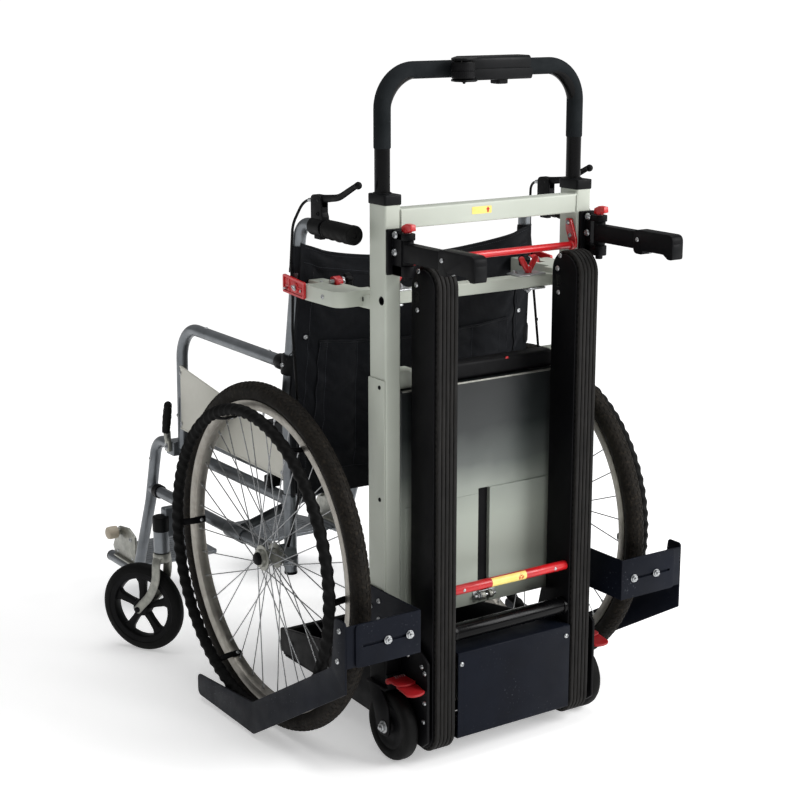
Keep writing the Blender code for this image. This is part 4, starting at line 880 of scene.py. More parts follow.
# ---------------------------------------------------------------- release bar
rb = [rod((0, 0.0, 0.8372), (1, 0, 0), 0.0060, -0.1740, 0.1740, 32, 0.0012)]
for _, s in SIDES:
    rb.append(prism(rounded([(-0.006, 0.8312), (0.006, 0.8312), (0.020, 0.862), (0.020, 0.8805), (0.008, 0.8805), (-0.006, 0.848)], 0.0048, 6), "x",
                    s * 0.1715, s * 0.1768, 0.0008))
    rb.append(rod((0, 0.0, 0.8365), (s, 0, 0), 0.0078, 0.1650, 0.1716, 28, 0.0016))
piece("release_bar", merge(*rb), RED, "release_bar", "release_bar")
rs = []
for _, s in SIDES:
    rs += [pan_screw((s * 0.1715, 0.0135, 0.8735), (-s, 0, 0), 0.0042, 0.0022), pan_screw((s * 0.1715, 0.0075, 0.8520), (-s, 0, 0), 0.0042, 0.0022)]
piece("release_bar_screws", merge(*rs), ZINC, "release_bar")

# ---------------------------------------------------------------- crawler
TX0, TX1, RX0, RX1 = 0.1232, 0.1628, 0.1195, 0.1665
TY, TR, BT, ZB, ZT = -0.0425, 0.0375, 0.0085, 0.0565, 0.7995


def loop(r, seg=28, rows=60):
    """Points and outward directions round the two track axles."""
    out = []
    for k in range(seg + 1):
        a = math.pi * k / seg
        out.append((TY + r * math.cos(a), ZT + r * math.sin(a), math.cos(a), math.sin(a)))
    for k in range(1, rows):
        out.append((TY - r, ZT + (ZB - ZT) * k / rows, -1.0, 0.0))
    for k in range(seg + 1):
        a = math.pi + math.pi * k / seg
        out.append((TY + r * math.cos(a), ZB + r * math.sin(a), math.cos(a), math.sin(a)))
    for k in range(1, rows):
        out.append((TY + r, ZB + (ZT - ZB) * k / rows, 1.0, 0.0))
    return out


def rail_outline(r, seg=24):
    return [(TY + r * math.cos(a), c + r * math.sin(a)) for c, st in ((ZT, 0.0), (ZB, math.pi)) for a in [st + math.pi * k / seg for k in range(seg + 1)]]


for side, s in SIDES:
    # belt section: five ribs across the tread
    W = TX1 - TX0
    sec = [(TX0, -BT), (TX0, -0.0046), (TX0 + 0.0006, -0.0026)]
    ribs_n, furrow = 5, 0.0021
    pitch = (W - 0.0014) / ribs_n
    for k in range(ribs_n):
        a = TX0 + 0.0007 + pitch * k
        b = a + pitch
        lo = furrow / 2
        edge0 = 0.0007 if k == 0 else lo
        edge1 = 0.0007 if k == ribs_n - 1 else lo
        sec += [(a + edge0 * 0.6, -0.0024), (a + edge0, -0.0007), (a + edge0 + 0.0011, -0.0001), (b - edge1 - 0.0011, -0.0001), (b - edge1, -0.0007), (b - edge1 * 0.6, -0.0024)]
    sec += [(TX1 - 0.0006, -0.0026), (TX1, -0.0046), (TX1, -BT)]
    frames_ = [(V((0, y, z)), V((s, 0, 0)), V((0, ny, nz))) for y, z, ny, nz in loop(TR)]
    belt = sweep(sec, frames_, True)
    piece(f"track_belt_{side}", belt, TRACK, "crawler", f"track_belt_{side}", angle=40)
    # cogs along both edges of the belt
    cogs = []
    total = 2 * (ZT - ZB) + 2 * math.pi * (TR - 0.0050)
    count = 150
    for k in range(count):
        d = total * k / count
        r = TR - 0.0050
        half = math.pi * r
        if d < half:
            a = d / r
            cy, cz, ny, nz = TY + r * math.cos(a), ZT + r * math.sin(a), math.cos(a), math.sin(a)
        elif d < half + (ZT - ZB):
            cy, cz, ny, nz = TY - r, ZT - (d - half), -1.0, 0.0
        elif d < 2 * half + (ZT - ZB):
            a = math.pi + (d - half - (ZT - ZB)) / r
            cy, cz, ny, nz = TY + r * math.cos(a), ZB + r * math.sin(a), math.cos(a), math.sin(a)
        else:
            cy, cz, ny, nz = TY + r, ZB + (d - 2 * half - (ZT - ZB)), 1.0, 0.0
        for x0, x1 in ((TX0 - 0.0004, TX0 + 0.001), (TX1 - 0.001, TX1 + 0.0004)):
            q = box(-0.0016, 0.0016, -0.0022, 0.0022, x0, x1)
            n_, t_ = V((0, ny, nz)), V((0, -nz, ny))
            for v in q.verts:
                v.co = V((s * v.co.z, cy, cz)) + n_ * v.co.x + t_ * v.co.y
            cogs.append(q)
    piece(f"belt_cogs_{side}", merge(*cogs), RUBBER, "crawler")
    # side plates, core and their hardware
    core = rbox(s * (RX0 + 0.001), s * (RX1 - 0.001), TY - 0.026, TY + 0.026, 0.110, 0.745, 0.002)
    plates = [prism(rail_outline(0.0310), "x", s * a, s * b, 0.0008) for a, b in ((RX0, RX0 + 0.003), (RX1 - 0.003, RX1))]
    piece(f"track_rail_{side}", merge(core, *plates), BLACK, "crawler", f"track_rail_{side}")
    hw, slot_shade = [], []
    for x, d in ((RX0, -1), (RX1, 1)):
        face = (s * x, s * d)
        for y, z, r in ((-0.0286, 0.8270, 0.0042), (-0.0230, 0.8050, 0.0046), (-0.0262, 0.7650, 0.0042)):
            hw.append(pan_screw((face[0], y - 0.002, z), (face[1], 0, 0), r, 0.0020))
        # flat glossy-black patch on the side plate: painted shade where a slot would be
        slot_shade.append(rbox(face[0] - 0.0004, face[0] + 0.0004, -0.0330, -0.0210, 0.7760, 0.7950, 0.0003, 1))
    piece(f"rail_screws_{side}", merge(*hw), ZINC, "crawler")
    piece(f"rail_slots_{side}", merge(*slot_shade), GLOSS, "crawler")
    # tension idler
    idler = lathe([(0, RX0 + 0.0002), (0.0050, RX0 + 0.0002), (0.0050, TX0 + 0.001), (0.0270, TX0 + 0.001), (0.0284, TX0 + 0.0020), (0.0284, TX1 - 0.0020),
                   (0.0270, TX1 - 0.001), (0.0050, TX1 - 0.001), (0.0050, RX1 - 0.0002), (0, RX1 - 0.0002)], (0, TY, ZT), (s, 0, 0), 48)
    piece(f"track_idler_{side}", idler, PLASTIC, f"track_idler_{side}", f"track_idler_{side}")

profile = [(0, -0.1785), (0.0074, -0.1785), (0.008, -0.1779)]
for lo, hi in ((-TX1 + 0.001, -TX0 - 0.001), (TX0 + 0.001, TX1 - 0.001)):
    profile += [(0.008, lo), (0.0275, lo), (0.0284, lo + 0.0009), (0.0284, hi - 0.0009), (0.0275, hi), (0.008, hi)]
profile += [(0.008, 0.1779), (0.0074, 0.1785), (0, 0.1785)]
piece("drive_shaft", lathe(profile, (0, TY, ZB), (1, 0, 0), 48), ZINC, "drive_shaft", "drive_shaft")

XB = RX0 - GAP
piece("push_bar", rod((0, -0.062, 0.2965), (1, 0, 0), 0.008, -XB, XB, 40, 0.0006), RED, "crawler", "push_bar")
film = []
for a0, a1, x0, x1, r in ((-70, 70, -0.0415, 0.0304, 0.0082),):
    sec_o = [(r * math.sin(math.radians(a0 + (a1 - a0) * k / 20)), r * math.cos(math.radians(a0 + (a1 - a0) * k / 20))) for k in range(21)]
    sec_i = [(y * 0.985, z * 0.985) for y, z in reversed(sec_o)]
    film.append(prism([(-0.062 - z, 0.2965 + y) for y, z in sec_o + sec_i], "x", x0, x1))
piece("push_bar_label", merge(*film), YELLOW, "crawler")
bm = prism(arrow(0.0185, 0.2965, 0.0132, 0, 0), "y", -0.001, 0.0)
bmesh.ops.triangulate(bm, faces=bm.faces[:])
bmesh.ops.subdivide_edges(bm, edges=bm.edges[:], cuts=2, use_grid_fill=True)
for v in bm.verts:
    a = (v.co.z - 0.2965) / 0.0084
    r = 0.00835 if v.co.y < -0.0005 else 0.0079
    v.co = (v.co.x, -0.062 - r * math.cos(a), 0.2965 + r * math.sin(a))
piece("push_bar_label_arrow", bm, ARROW, "crawler")
rv = [rivet((x, -0.062 - 0.0078, 0.2965), (0, -1, 0), 0.0030, 0.0012) for x in (-0.0995, 0.0925)]
piece("push_bar_rivets", merge(*rv), ZINC, "crawler")
ends = [tube((0, -0.058, 0.2215), (1, 0, 0), 0.0160, 0.0143, a, b, 36) for a, b in ((-XB, -XB + 0.006), (XB - 0.006, XB))]
piece("cross_tube", merge(rod((0, -0.058, 0.2215), (1, 0, 0), 0.0145, -XB, XB, 44, 0.0008), *ends), GLOSS, "crawler", "cross_tube")

# ---------------------------------------------------------------- drive unit
DC = 0.1185
prof = rounded([(-0.0805, 0.0415), (-0.0805, 0.1930), (0.0096, 0.1930), (0.0096, 0.1903), (-0.0778, 0.1903), (-0.0778, 0.0442), (0.0096, 0.0442), (0.0096, 0.0415)],
               [0.0040, 0.0032, 0.0004, 0.0004, 0.0010, 0.0010, 0.0004, 0.0004], 5)
cover = prism(prof, "x", -DC, DC, 0.0005)
piece("drive_cover", cover, NAVY, "carrier_frame", "drive_cover")
dcs = [pan_screw((x, -0.0805, z), (0, -1, 0), 0.0042, 0.0022) for x, z in ((-0.1120, 0.1730), (0.1105, 0.1745))]
piece("drive_cover_screws", merge(*dcs), ZINC, "carrier_frame")
gear = prism(rounded([(-0.072, 0.0445), (-0.004, 0.0445), (-0.004, 0.150), (-0.072, 0.150)], 0.012, 6), "x", 0.030, 0.088, 0.002)
fins = [lathe([(0, -0.105), (0.034, -0.105), (0.038, -0.102), (0.038, -0.020), (0.036, -0.018), (0.036, 0.035), (0, 0.035)], (0, -0.036, 0.1315), (1, 0, 0), 48)]
piece("drive_motor", cut(fuse(gear, *fins), rod((0, TY, ZB), (1, 0, 0), 0.0084, -0.2, 0.2, 24, 0)), PALE, "carrier_frame", "drive_motor")

# ---------------------------------------------------------------- base chassis
CX0, CX1 = 0.1737, 0.1787
ch, holes = [], []
for _, s in SIDES:
    ch.append(prism(rounded([(-0.076, 0.046), (-0.076, 0.186), (-0.050, 0.206), (0.046, 0.2305), (0.062, 0.2305), (0.082, 0.150), (0.400, 0.100), (0.400, 0.055),
                             (0.020, 0.040), (-0.060, 0.034)], 0.006, 4), "x", s * CX0, s * CX1, 0.0008))
    ch.append(rbox(s * (CX1 - 0.002), s * 0.2165, -0.008, 0.048, 0.1240, 0.1292, 0.0010))
    ch.append(rbox(s * 0.1850, s * 0.2105, -0.0078, -0.0020, 0.1280, 0.1500, 0.0008))
    fork = rounded([(-0.0205, 0.0440), (0.0125, 0.0440), (0.042, 0.126), (0.006, 0.1262), (-0.017, 0.1000)], [0.015, 0.015, 0, 0, 0.014], 8)
    for x0, x1 in ((CX1 - 0.001, CX1 + 0.0028), (0.2127, 0.2165)):
        ch.append(prism(fork, "x", s * x0, s * x1, 0.0008))
ch.append(rbox(-CX0 - 0.001, CX0 + 0.001, 0.010, 0.390, 0.0450, 0.0490, 0.0008))
ch.append(rbox(-CX0 - 0.001, CX0 + 0.001, 0.0100, 0.0140, 0.0465, 0.1880, 0.0008))
ch.append(rbox(-CX0 - 0.001, CX0 + 0.001, 0.3820, 0.3960, 0.0470, 0.0980, 0.0012))
piece("base_chassis", merge(*ch), BLACK, "carrier_frame", "base_chassis")
cb = []
for _, s in SIDES:
    for y, z in ((-0.0610, 0.1773), (-0.0690, 0.1680), (-0.0690, 0.1160), (-0.0660, 0.0820), (0.0452, 0.1520), (0.0640, 0.1320), (0.0980, 0.1300), (0.2500, 0.1000), (0.3600, 0.0800)):
        cb.append(pan_screw((s * CX1, y, z), (s, 0, 0), 0.0042, 0.0024))
    cb.append(rivet((s * CX1, -0.0200, 0.1850), (s, 0, 0), 0.0046, 0.0020))
for x in (-0.150, -0.075, 0.0, 0.075, 0.150):
    cb.append(pan_screw((x, 0.3960, 0.0820), (0, 1, 0), 0.0042, 0.0022))
piece("chassis_bolts", merge(*cb), ZINC, "carrier_frame")

CY, CR, CW = -0.004, 0.060, 0.027
for side, s in SIDES:
    x0, x1 = 0.197 - CW / 2, 0.197 + CW / 2
    tyre = lathe([(0.0405, x0 + 0.0030), (0.0440, x0 + 0.0006), (0.0480, x0), (0.0535, x0 + 0.0004), (0.0572, x0 + 0.0022), (0.0592, x0 + 0.0050), (0.0600, x0 + 0.0085),
                  (0.0600, x1 - 0.0085), (0.0592, x1 - 0.0050), (0.0572, x1 - 0.0022), (0.0535, x1 - 0.0004), (0.0480, x1), (0.0440, x1 - 0.0006), (0.0405, x1 - 0.0030)],
                 (0, CY, CR), (s, 0, 0), 72, closed=True)
    piece(f"carrier_tyre_{side}", tyre, RUBBER, f"carrier_wheel_{side}")
    hub = lathe([(0, x0 + 0.0008), (0.0120, x0 + 0.0008), (0.0140, x0 + 0.0040), (0.0300, x0 + 0.0050), (0.0330, x0 + 0.0032), (0.0408, x0 + 0.0030), (0.0410, x1 - 0.0030),
                 (0.0330, x1 - 0.0032), (0.0300, x1 - 0.0050), (0.0140, x1 - 0.0040), (0.0120, x1 - 0.0008), (0, x1 - 0.0008)], (0, CY, CR), (s, 0, 0), 56)
    piece(f"carrier_wheel_{side}", hub, PLASTIC, f"carrier_wheel_{side}", f"carrier_wheel_{side}")
    axle = rod((0, CY, CR), (s, 0, 0), 0.0060, 0.1780, 0.2168, 24)
    nut = hex_bolt((s * 0.2166, CY, CR), (s, 0, 0), 0.0080, 0.0060, 1.35)
    piece(f"carrier_axle_{side}", merge(axle, nut), ZINC, f"carrier_wheel_{side}")
    # two-lobed brake pedal
    def lobe(y0, y1, z0, z1, x_in, x_out, n=12):
        pts_ = [(x_in, y0), (x_out, y0)]
        for k in range(n + 1):
            a = math.pi * k / n
            pts_.append(((x_in + x_out) / 2 + (x_out - x_in) / 2 * math.cos(a), y1 - 0.010 * math.sin(a)))
        bm_ = prism(rounded(pts_, 0.0, 1), "z", 0, 1)
        for v in bm_.verts:
            t = (v.co.y - y0) / (y1 - 0.010 - y0)
            top = z0 + (z1 - z0) * t
            v.co.z = top if v.co.z > 0.5 else top - 0.0042
        return soften(bm_, 0.0016, 3, 40)
    upper = lobe(-0.0100, -0.0420, 0.1475, 0.1482, s * 0.1800, s * 0.2155)
    lower = lobe(-0.0400, -0.0690, 0.1452, 0.1392, s * 0.1800, s * 0.2155)
    bar_ = rod((0, -0.0130, 0.1435), (s, 0, 0), 0.0048, 0.1795, 0.2160, 28)
    rib = rbox(s * 0.1900, s * 0.2055, -0.0500, -0.0120, 0.1398, 0.1450, 0.0010)
    piece(f"brake_pedal_{side}", merge(upper, lower, bar_, rib), PEDAL, f"brake_pedal_{side}", f"brake_pedal_{side}")
    spring = [(s * (0.1815 + 0.0028 * k / 8 + 0.012 * (k / 64)), -0.0130 + 0.0062 * math.cos(2 * math.pi * k / 8), 0.1435 + 0.0062 * math.sin(2 * math.pi * k / 8)) for k in range(41)]
    piece(f"pedal_spring_{side}", pipe(spring, 0.0007, 8), ZINC, f"brake_pedal_{side}")

# ---------------------------------------------------------------- wheel brackets and side plates
for side, s in SIDES:
    wall = rbox(s * 0.2117, s * 0.2147, -0.1046, 0.0800, 0.2250, 0.2970, 0.0006)
    face = rounded([(s * 0.2120, 0.2250), (s * 0.3350, 0.2250), (s * 0.3350, 0.2970), (s * 0.2120, 0.2970)], [0.002, 0.008, 0.008, 0.002], 5)
    back = prism(face, "y", -0.1050, -0.1020, 0.0007)
    slot = prism(rounded([(s * 0.2330, 0.2580), (s * 0.3240, 0.2580), (s * 0.3240, 0.2630), (s * 0.2330, 0.2630)], 0.0024, 4), "y", -0.12, -0.09)
    piece(f"wheel_bracket_{side}", merge(cut(back, slot), wall), NAVY, "carrier_frame", f"wheel_bracket_{side}")
    xs = (0.2272 + 0.006, 0.2751) if side == "left" else (0.2401, 0.2914)
    sb = [hex_bolt((s * x, -0.1050, 0.2605), (0, -1, 0), 0.0062, 0.0042, 1.15) for x in xs]
    piece(f"slot_bolts_{side}", merge(*sb), ZINC, f"side_plate_{side}")
    wb = [pan_screw((s * 0.2147, y, z), (s, 0, 0), 0.0044, 0.0024) for y, z in ((0.012, 0.2450), (0.012, 0.2770), (0.036, 0.2610))]
    piece(f"wheel_bracket_screws_{side}", merge(*wb), ZINC, "carrier_frame")
    flange = prism(rounded([(s * 0.2360, 0.2260), (s * 0.3520, 0.2260), (s * 0.3520, 0.2960), (s * 0.2360, 0.2960)], 0.004, 4), "y", -0.1016, -0.0986, 0.0006)
    outer = prism(rounded([(-0.1016, 0.184), (-0.1016, 0.3030), (-0.0700, 0.3030), (-0.0600, 0.2175), (0.2000, 0.064), (0.4000, 0.050), (0.4000, 0.010), (0.1965, 0.006)],
                          [0.003, 0.007, 0.007, 0.012, 0.022, 0.012, 0.012, 0.012], 7), "x", s * 0.3500, s * 0.3530, 0.0007)
    piece(f"side_plate_{side}", merge(flange, outer), NAVY, f"side_plate_{side}", f"side_plate_{side}")
    pb = [pan_screw((s * 0.3530, y, z), (s, 0, 0), 0.0048, 0.0024) for y, z in ((-0.0790, 0.2330), (-0.0850, 0.2850))]
    piece(f"side_plate_screws_{side}", merge(*pb), ZINC, f"side_plate_{side}")


# ---------------------------------------------------------------- wheelchair side frames
SX, TOPX, TUBE = 0.248, 0.235, 0.011
POST = [(SX, 0.2390, 0.2700), (SX, 0.2390, 0.5900), (TOPX, 0.2115, 0.8826), (TOPX, 0.1200, 0.8809)]


def post_at(z):
    """Middle of the right back post at a height."""
    t = max(0.0, (z - 0.5900) / 0.2926)
    return SX + (TOPX - SX) * t, 0.2390 - 0.0275 * t


def yz(s, pts, x=SX):
    return [(s * x, y, z) for y, z in pts]


for side, s in SIDES:
    post = fillet([(s * x, y, z) for x, y, z in POST], 0.030, 10)
    frame_tubes = [pipe(post, TUBE, 28)]
    frame_tubes.append(pipe(fillet(yz(s, [(0.2335, 0.6400), (0.6280, 0.6440), (0.6340, 0.4050)]), 0.065, 14), TUBE, 28))
    frame_tubes.append(pipe(fillet(yz(s, [(0.2390, 0.3987), (0.7480, 0.3987), (0.7859, 0.2626), (0.8500, 0.1080), (0.8700, 0.0920), (0.9800, 0.0920)]), 0.045, 10), TUBE, 28))
    frame_tubes.append(pipe(yz(s, [(0.2390, 0.2900), (0.7770, 0.2900)]), TUBE, 28))
    # gusset to the caster housing and the housing itself
    frame_tubes.append(rbox(s * 0.2440, s * 0.2955, 0.6280, 0.6480, 0.2330, 0.2920, 0.0040, 4))
    frame_tubes.append(lathe([(0.0080, 0.2050), (0.0142, 0.2050), (0.0150, 0.2058), (0.0150, 0.2500), (0.0080, 0.2500)], (s * 0.300, 0.638, 0), (0, 0, 1), 40, closed=True))
    # collars welded where tubes meet
    frame_tubes.append(tube((s * SX, 0.2390, 0), (0, 0, 1), 0.0132, 0.0108, 0.3860, 0.4120, 32))
    frame_tubes.append(tube((s * SX, 0.2390, 0), (0, 0, 1), 0.0132, 0.0108, 0.2800, 0.3000, 32))
    frame_tubes.append(rod((s * SX, 0.2394, 0.3050), (s, 0, 0), 0.0170, -0.004, 0.0200, 36, 0.0012))
    frame_tubes.append(rbox(s * 0.2440, s * 0.2700, 0.6350, 0.6650, 0.3900, 0.4180, 0.0022))
    piece(f"chair_frame_{side}", merge(*frame_tubes), SILVER, "carrier_frame", f"chair_frame_{side}")

    # black fittings: arm socket, tube plugs, caster cap
    lean = (V((s * TOPX, 0.2115, 0.8826)) - V((s * SX, 0.2390, 0.5900))).normalized()
    px, py = post_at(0.6400)
    c = V((s * px, py, 0.6400))
    clip = [lathe([(0.0111, -0.017), (0.0148, -0.017), (0.0156, -0.014), (0.0156, 0.013), (0.0146, 0.017), (0.0111, 0.017)], c, lean, 36, closed=True)]
    clip.append(rod((s * SX, 0.2400, 0.6402), (0, 1, 0), 0.0138, 0.002, 0.026, 32, 0.0015))
    clip.append(lathe([(0, 0.2770), (0.0120, 0.2775), (0.0152, 0.2760), (0.0160, 0.2735), (0.0160, 0.2480), (0.0150, 0.2470), (0, 0.2470)], (s * 0.300, 0.638, 0), (0, 0, 1), 40))
    clip.append(rod((s * SX, 0, 0.0920), (0, 1, 0), 0.0114, 0.9790, 0.9850, 28, 0.002))
    clip.append(rod((s * SX, 0.2390, 0), (0, 0, 1), 0.0116, 0.2660, 0.2720, 28, 0.002))
    clip.append(tube((s * SX, 0, 0.2900), (0, 1, 0), 0.0136, 0.0109, 0.7400, 0.7560, 28))
    piece(f"frame_fittings_{side}", merge(*clip), SATIN, "carrier_frame")

    # screws along the tubes
    scr = [pan_screw((s * SX, y, 0.6400 + 0.01 * (y - 0.228) + TUBE - 0.0004), (0, 0, 1), 0.0038, 0.0018) for y in (0.3020, 0.5310)]
    scr += [pan_screw((s * (px + 0.0154), py, 0.6400), (s, 0, 0), 0.0042, 0.0022), pan_screw((s * 0.2700, 0.6590, 0.4050), (s, 0, 0), 0.0042, 0.0024),
            pan_screw((s * (SX + 0.0107), 0.6340, 0.4700), (s, 0, 0), 0.0036, 0.0018), pan_screw((s * (SX + 0.0107), 0.7600, 0.3560), (s, 0, 0), 0.0036, 0.0018)]
    for y, z in ((0.2490, 0.4480), (0.2490, 0.4960), (0.6220, 0.4560), (0.6220, 0.5540)):
        scr.append(pan_screw((s * 0.2574, y, z), (s, 0, 0), 0.0034, 0.0014))
    piece(f"frame_screws_{side}", merge(*scr), ZINC, "carrier_frame")

    # clothes-guard panel: slightly bowed sheet with a rolled border
    panel = bmesh.new()
    NU, NV = 26, 10
    layers = []
    for off in (0.0, 1.0):
        grid = []
        for i in range(NU + 1):
            u = i / NU
            y = 0.2360 + 0.4000 * u
            zb, zt = 0.4360 + 0.0086 * u, 0.5070 + 0.0624 * u
            row = []
            for j in range(NV + 1):
                v = j / NV
                bow = 0.0010 * math.sin(math.pi * u) * math.sin(math.pi * v)
                row.append(panel.verts.new((s * (0.2536 + 0.0026 * off + bow), y, zb + (zt - zb) * v)))
            grid.append(row)
        layers.append(grid)
    for g in layers:
        for i in range(NU):
            for j in range(NV):
                panel.faces.new((g[i][j], g[i + 1][j], g[i + 1][j + 1], g[i][j + 1]))
    a, b = layers
    for i in range(NU):
        panel.faces.new((a[i][0], a[i + 1][0], b[i + 1][0], b[i][0]))
        panel.faces.new((a[i][NV], b[i][NV], b[i + 1][NV], a[i + 1][NV]))
    for j in range(NV):
        panel.faces.new((a[0][j], b[0][j], b[0][j + 1], a[0][j + 1]))
        panel.faces.new((a[NU][j], a[NU][j + 1], b[NU][j + 1], b[NU][j]))
    border = fillet([(s * 0.2553, 0.2374, 0.4374), (s * 0.2553, 0.6346, 0.4460), (s * 0.2553, 0.6346, 0.5680), (s * 0.2553, 0.2374, 0.5060), (s * 0.2553, 0.2374, 0.4374)], 0.004, 4)
    piece(f"skirt_guard_{side}", merge(panel, pipe(border, 0.0022, 10)), CREAM, "carrier_frame")

    # push grip: finger grooves below, ringed end with a hole
    grip = bmesh.new()
    L, NS, NR = 0.0840, 84, 40
    rings_ = []
    for i in range(NS + 1):
        t = i / NS
        y = 0.1303 - L * t
        zc = 0.8811 - 0.0016 * t
        swell = 0.0146 + 0.0006 * math.sin(math.pi * t)
        if t < 0.03:
            swell *= 0.90 + 0.10 * (t / 0.03)
        if t > 0.90:
            swell = 0.0160
        if t > 0.975:
            swell = 0.0160 - 0.0018 * ((t - 0.975) / 0.025) ** 2
        row = []
        for k in range(NR):
            a_ = 2 * math.pi * k / NR
            dx, dz = math.sin(a_), math.cos(a_)
            fing = 0.0022 * max(0.0, -dz) * (0.5 - 0.5 * math.cos(2 * math.pi * 4.0 * t)) if 0.08 < t < 0.86 else 0.0
            rib = 0.0004 * (0.5 + 0.5 * math.cos(2 * math.pi * 34 * t)) * max(0.0, dz) if 0.1 < t < 0.84 else 0.0
            r = swell + 0.0016 * max(0.0, -dz) * (1 if t < 0.9 else 0) - fing + rib
            row.append(grip.verts.new((s * TOPX + r * dx, y, zc + r * dz)))
        rings_.append(row)
    for p, q in zip(rings_, rings_[1:]):
        for k in range(NR):
            grip.faces.new((p[k], p[(k + 1) % NR], q[(k + 1) % NR], q[k]))
    grip.faces.new(rings_[0])
    last = rings_[-1]
    yc, zc = 0.1303 - L, 0.8811 - 0.0016
    for r, dy in ((0.0118, 0.0000), (0.0112, 0.0012), (0.0056, 0.0012), (0.0050, 0.0030)):
        row = [grip.verts.new((s * TOPX + r * math.sin(2 * math.pi * k / NR), yc + dy, zc + r * math.cos(2 * math.pi * k / NR))) for k in range(NR)]
        for k in range(NR):
            grip.faces.new((last[k], last[(k + 1) % NR], row[(k + 1) % NR], row[k]))
        last = row
    grip.faces.new(last)
    piece(f"push_grip_{side}", grip, RUBBER, "carrier_frame", angle=30)

    # brake bracket clamped on the tube, rounded head over a neck
    prof = rounded([(0.1328, 0.8800), (0.1328, 0.9000), (0.1358, 0.9060), (0.1358, 0.9340), (0.1688, 0.9340), (0.1688, 0.8800)], [0.002, 0.006, 0.006, 0.012, 0.010, 0.002], 7)
    head = cut(prism(prof, "x", s * (TOPX - 0.007), s * (TOPX + 0.007), 0.0018, 3), box(s * (TOPX - 0.0045), s * (TOPX + 0.0045), 0.1218, 0.1583, 0.9150, 0.9500))
    band_ = tube((s * TOPX, 0.0, 0.8818), (0, 1, 0), 0.0152, 0.0112, 0.1333, 0.1683, 40)
    ear = rbox(s * (TOPX - 0.005), s * (TOPX + 0.005), 0.1418, 0.1618, 0.8616, 0.8686, 0.0012)
    piece(f"brake_bracket_{side}", merge(head, band_, ear, pan_screw((s * (TOPX + 0.007), 0.1460, 0.9040), (s, 0, 0), 0.0036, 0.0020)), PLASTIC, "carrier_frame")
    ferrule = lathe([(0, -0.001), (0.0042, -0.001), (0.0042, 0.006), (0.0034, 0.007), (0.0034, 0.014), (0.0029, 0.015), (0, 0.015)], (s * 0.2354, 0.1680, 0.9246),
                    V((s * 0.0018, 0.0336, -0.0051)), 20)
    piece(f"cable_ferrule_{side}", ferrule, ZINC, "carrier_frame")
    # brake cable down the post to the hub
    cable = fillet([(s * 0.2354, 0.1642, 0.9251), (s * 0.2372, 0.1978, 0.9200), (s * 0.2490, 0.2140, 0.8800), (s * 0.2516, 0.2164, 0.8230), (s * 0.2532, 0.2120, 0.7850),
                    (s * 0.2534, 0.2100, 0.7570), (s * 0.2569, 0.2062, 0.7050), (s * 0.2588, 0.1900, 0.5870), (s * 0.2588, 0.1900, 0.4200), (s * 0.2572, 0.2340, 0.3120)], 0.060, 8)
    piece(f"brake_cable_{side}", pipe(cable, 0.0024, 14), GLOSS, "carrier_frame", angle=60)
    # tie that holds the cable to the post, with its cut tail
    tz = 0.6680
    tie = [rbox(s * 0.2562, s * 0.2606, 0.1985, 0.2030, tz - 0.0026, tz + 0.0026, 0.0006)]
    if s < 0:
        tie.append(pipe(spline([(s * 0.2594, 0.2000, tz), (s * 0.2660, 0.1990, tz - 0.002), (s * 0.2730, 0.1980, tz - 0.010), (s * 0.2790, 0.1970, tz - 0.018)], 6), 0.0007, 8))
    piece(f"cable_tie_{side}", merge(*tie), PLASTIC, "carrier_frame")

    # hand-brake lever with a ball tip
    line = spline([(s * TOPX, 0.1528, 0.9262), (s * TOPX, 0.1398, 0.9285), (s * TOPX, 0.1174, 0.9312), (s * TOPX, 0.0908, 0.9358), (s * TOPX, 0.0613, 0.9490),
                   (s * TOPX, 0.0418, 0.9580), (s * TOPX, 0.0373, 0.9598)], 6)
    n_ = len(line)
    rads = [0.0040] * n_
    lever = pipe(line, rads, 24, [1.75 - 0.55 * min(1.0, k / (n_ * 0.75)) for k in range(n_)], (1, 0, 0))
    ball = lathe([(0.0062 * math.sin(math.pi * k / 14), -0.0062 * math.cos(math.pi * k / 14)) for k in range(15)], (s * TOPX, 0.0360, 0.9592), (0, -1, 0.5), 28)
    piece(f"hand_brake_{side}", merge(lever, ball), PLASTIC, f"hand_brake_{side}", f"hand_brake_{side}", angle=50)
    piece(f"hand_brake_pivot_{side}", rod((s * TOPX, 0.1458, 0.9260), (1, 0, 0), 0.0026, -0.0074, 0.0074, 18), SATIN, f"hand_brake_{side}")

    # parking brake: plated plate and rod, black hand grip
    pk = merge(prism(rounded([(0.6410, 0.3980), (0.6600, 0.3980), (0.6550, 0.4400), (0.6420, 0.4400)], 0.004, 5), "x", s * 0.2704, s * 0.2764, 0.0010),
               pipe(spline([(s * 0.2750, 0.6480, 0.4200), (s * 0.2790, 0.6450, 0.4350), (s * 0.2800, 0.6430, 0.4450)], 5), 0.0052, 20))
    piece(f"parking_brake_{side}", pk, PALE, f"parking_brake_{side}", f"parking_brake_{side}")
    gl = [V((s * 0.2800, 0.6440, 0.4380)).lerp(V((s * 0.2800, 0.6300, 0.5000)), k / 20) for k in range(21)]
    gr = []
    for k in range(21):
        t = k / 20
        r = 0.0074 + 0.0013 * math.sin(math.pi * min(1.0, t * 1.05))
        r *= 1 - 0.06 * (0.5 + 0.5 * math.cos(2 * math.pi * 5 * t)) if 0.15 < t < 0.85 else 1
        if t > 0.9:
            r *= math.sqrt(max(0.05, 1 - ((t - 0.9) / 0.1) ** 2 * 0.85))
        gr.append(r)
    piece(f"parking_grip_{side}", pipe(gl, gr, 28), RUBBER, f"parking_brake_{side}", angle=50)
    piece(f"parking_pivot_{side}", hex_bolt((s * 0.2764, 0.6500, 0.4080), (s, 0, 0), 0.0048, 0.0030, 1.3), ZINC, f"parking_brake_{side}")

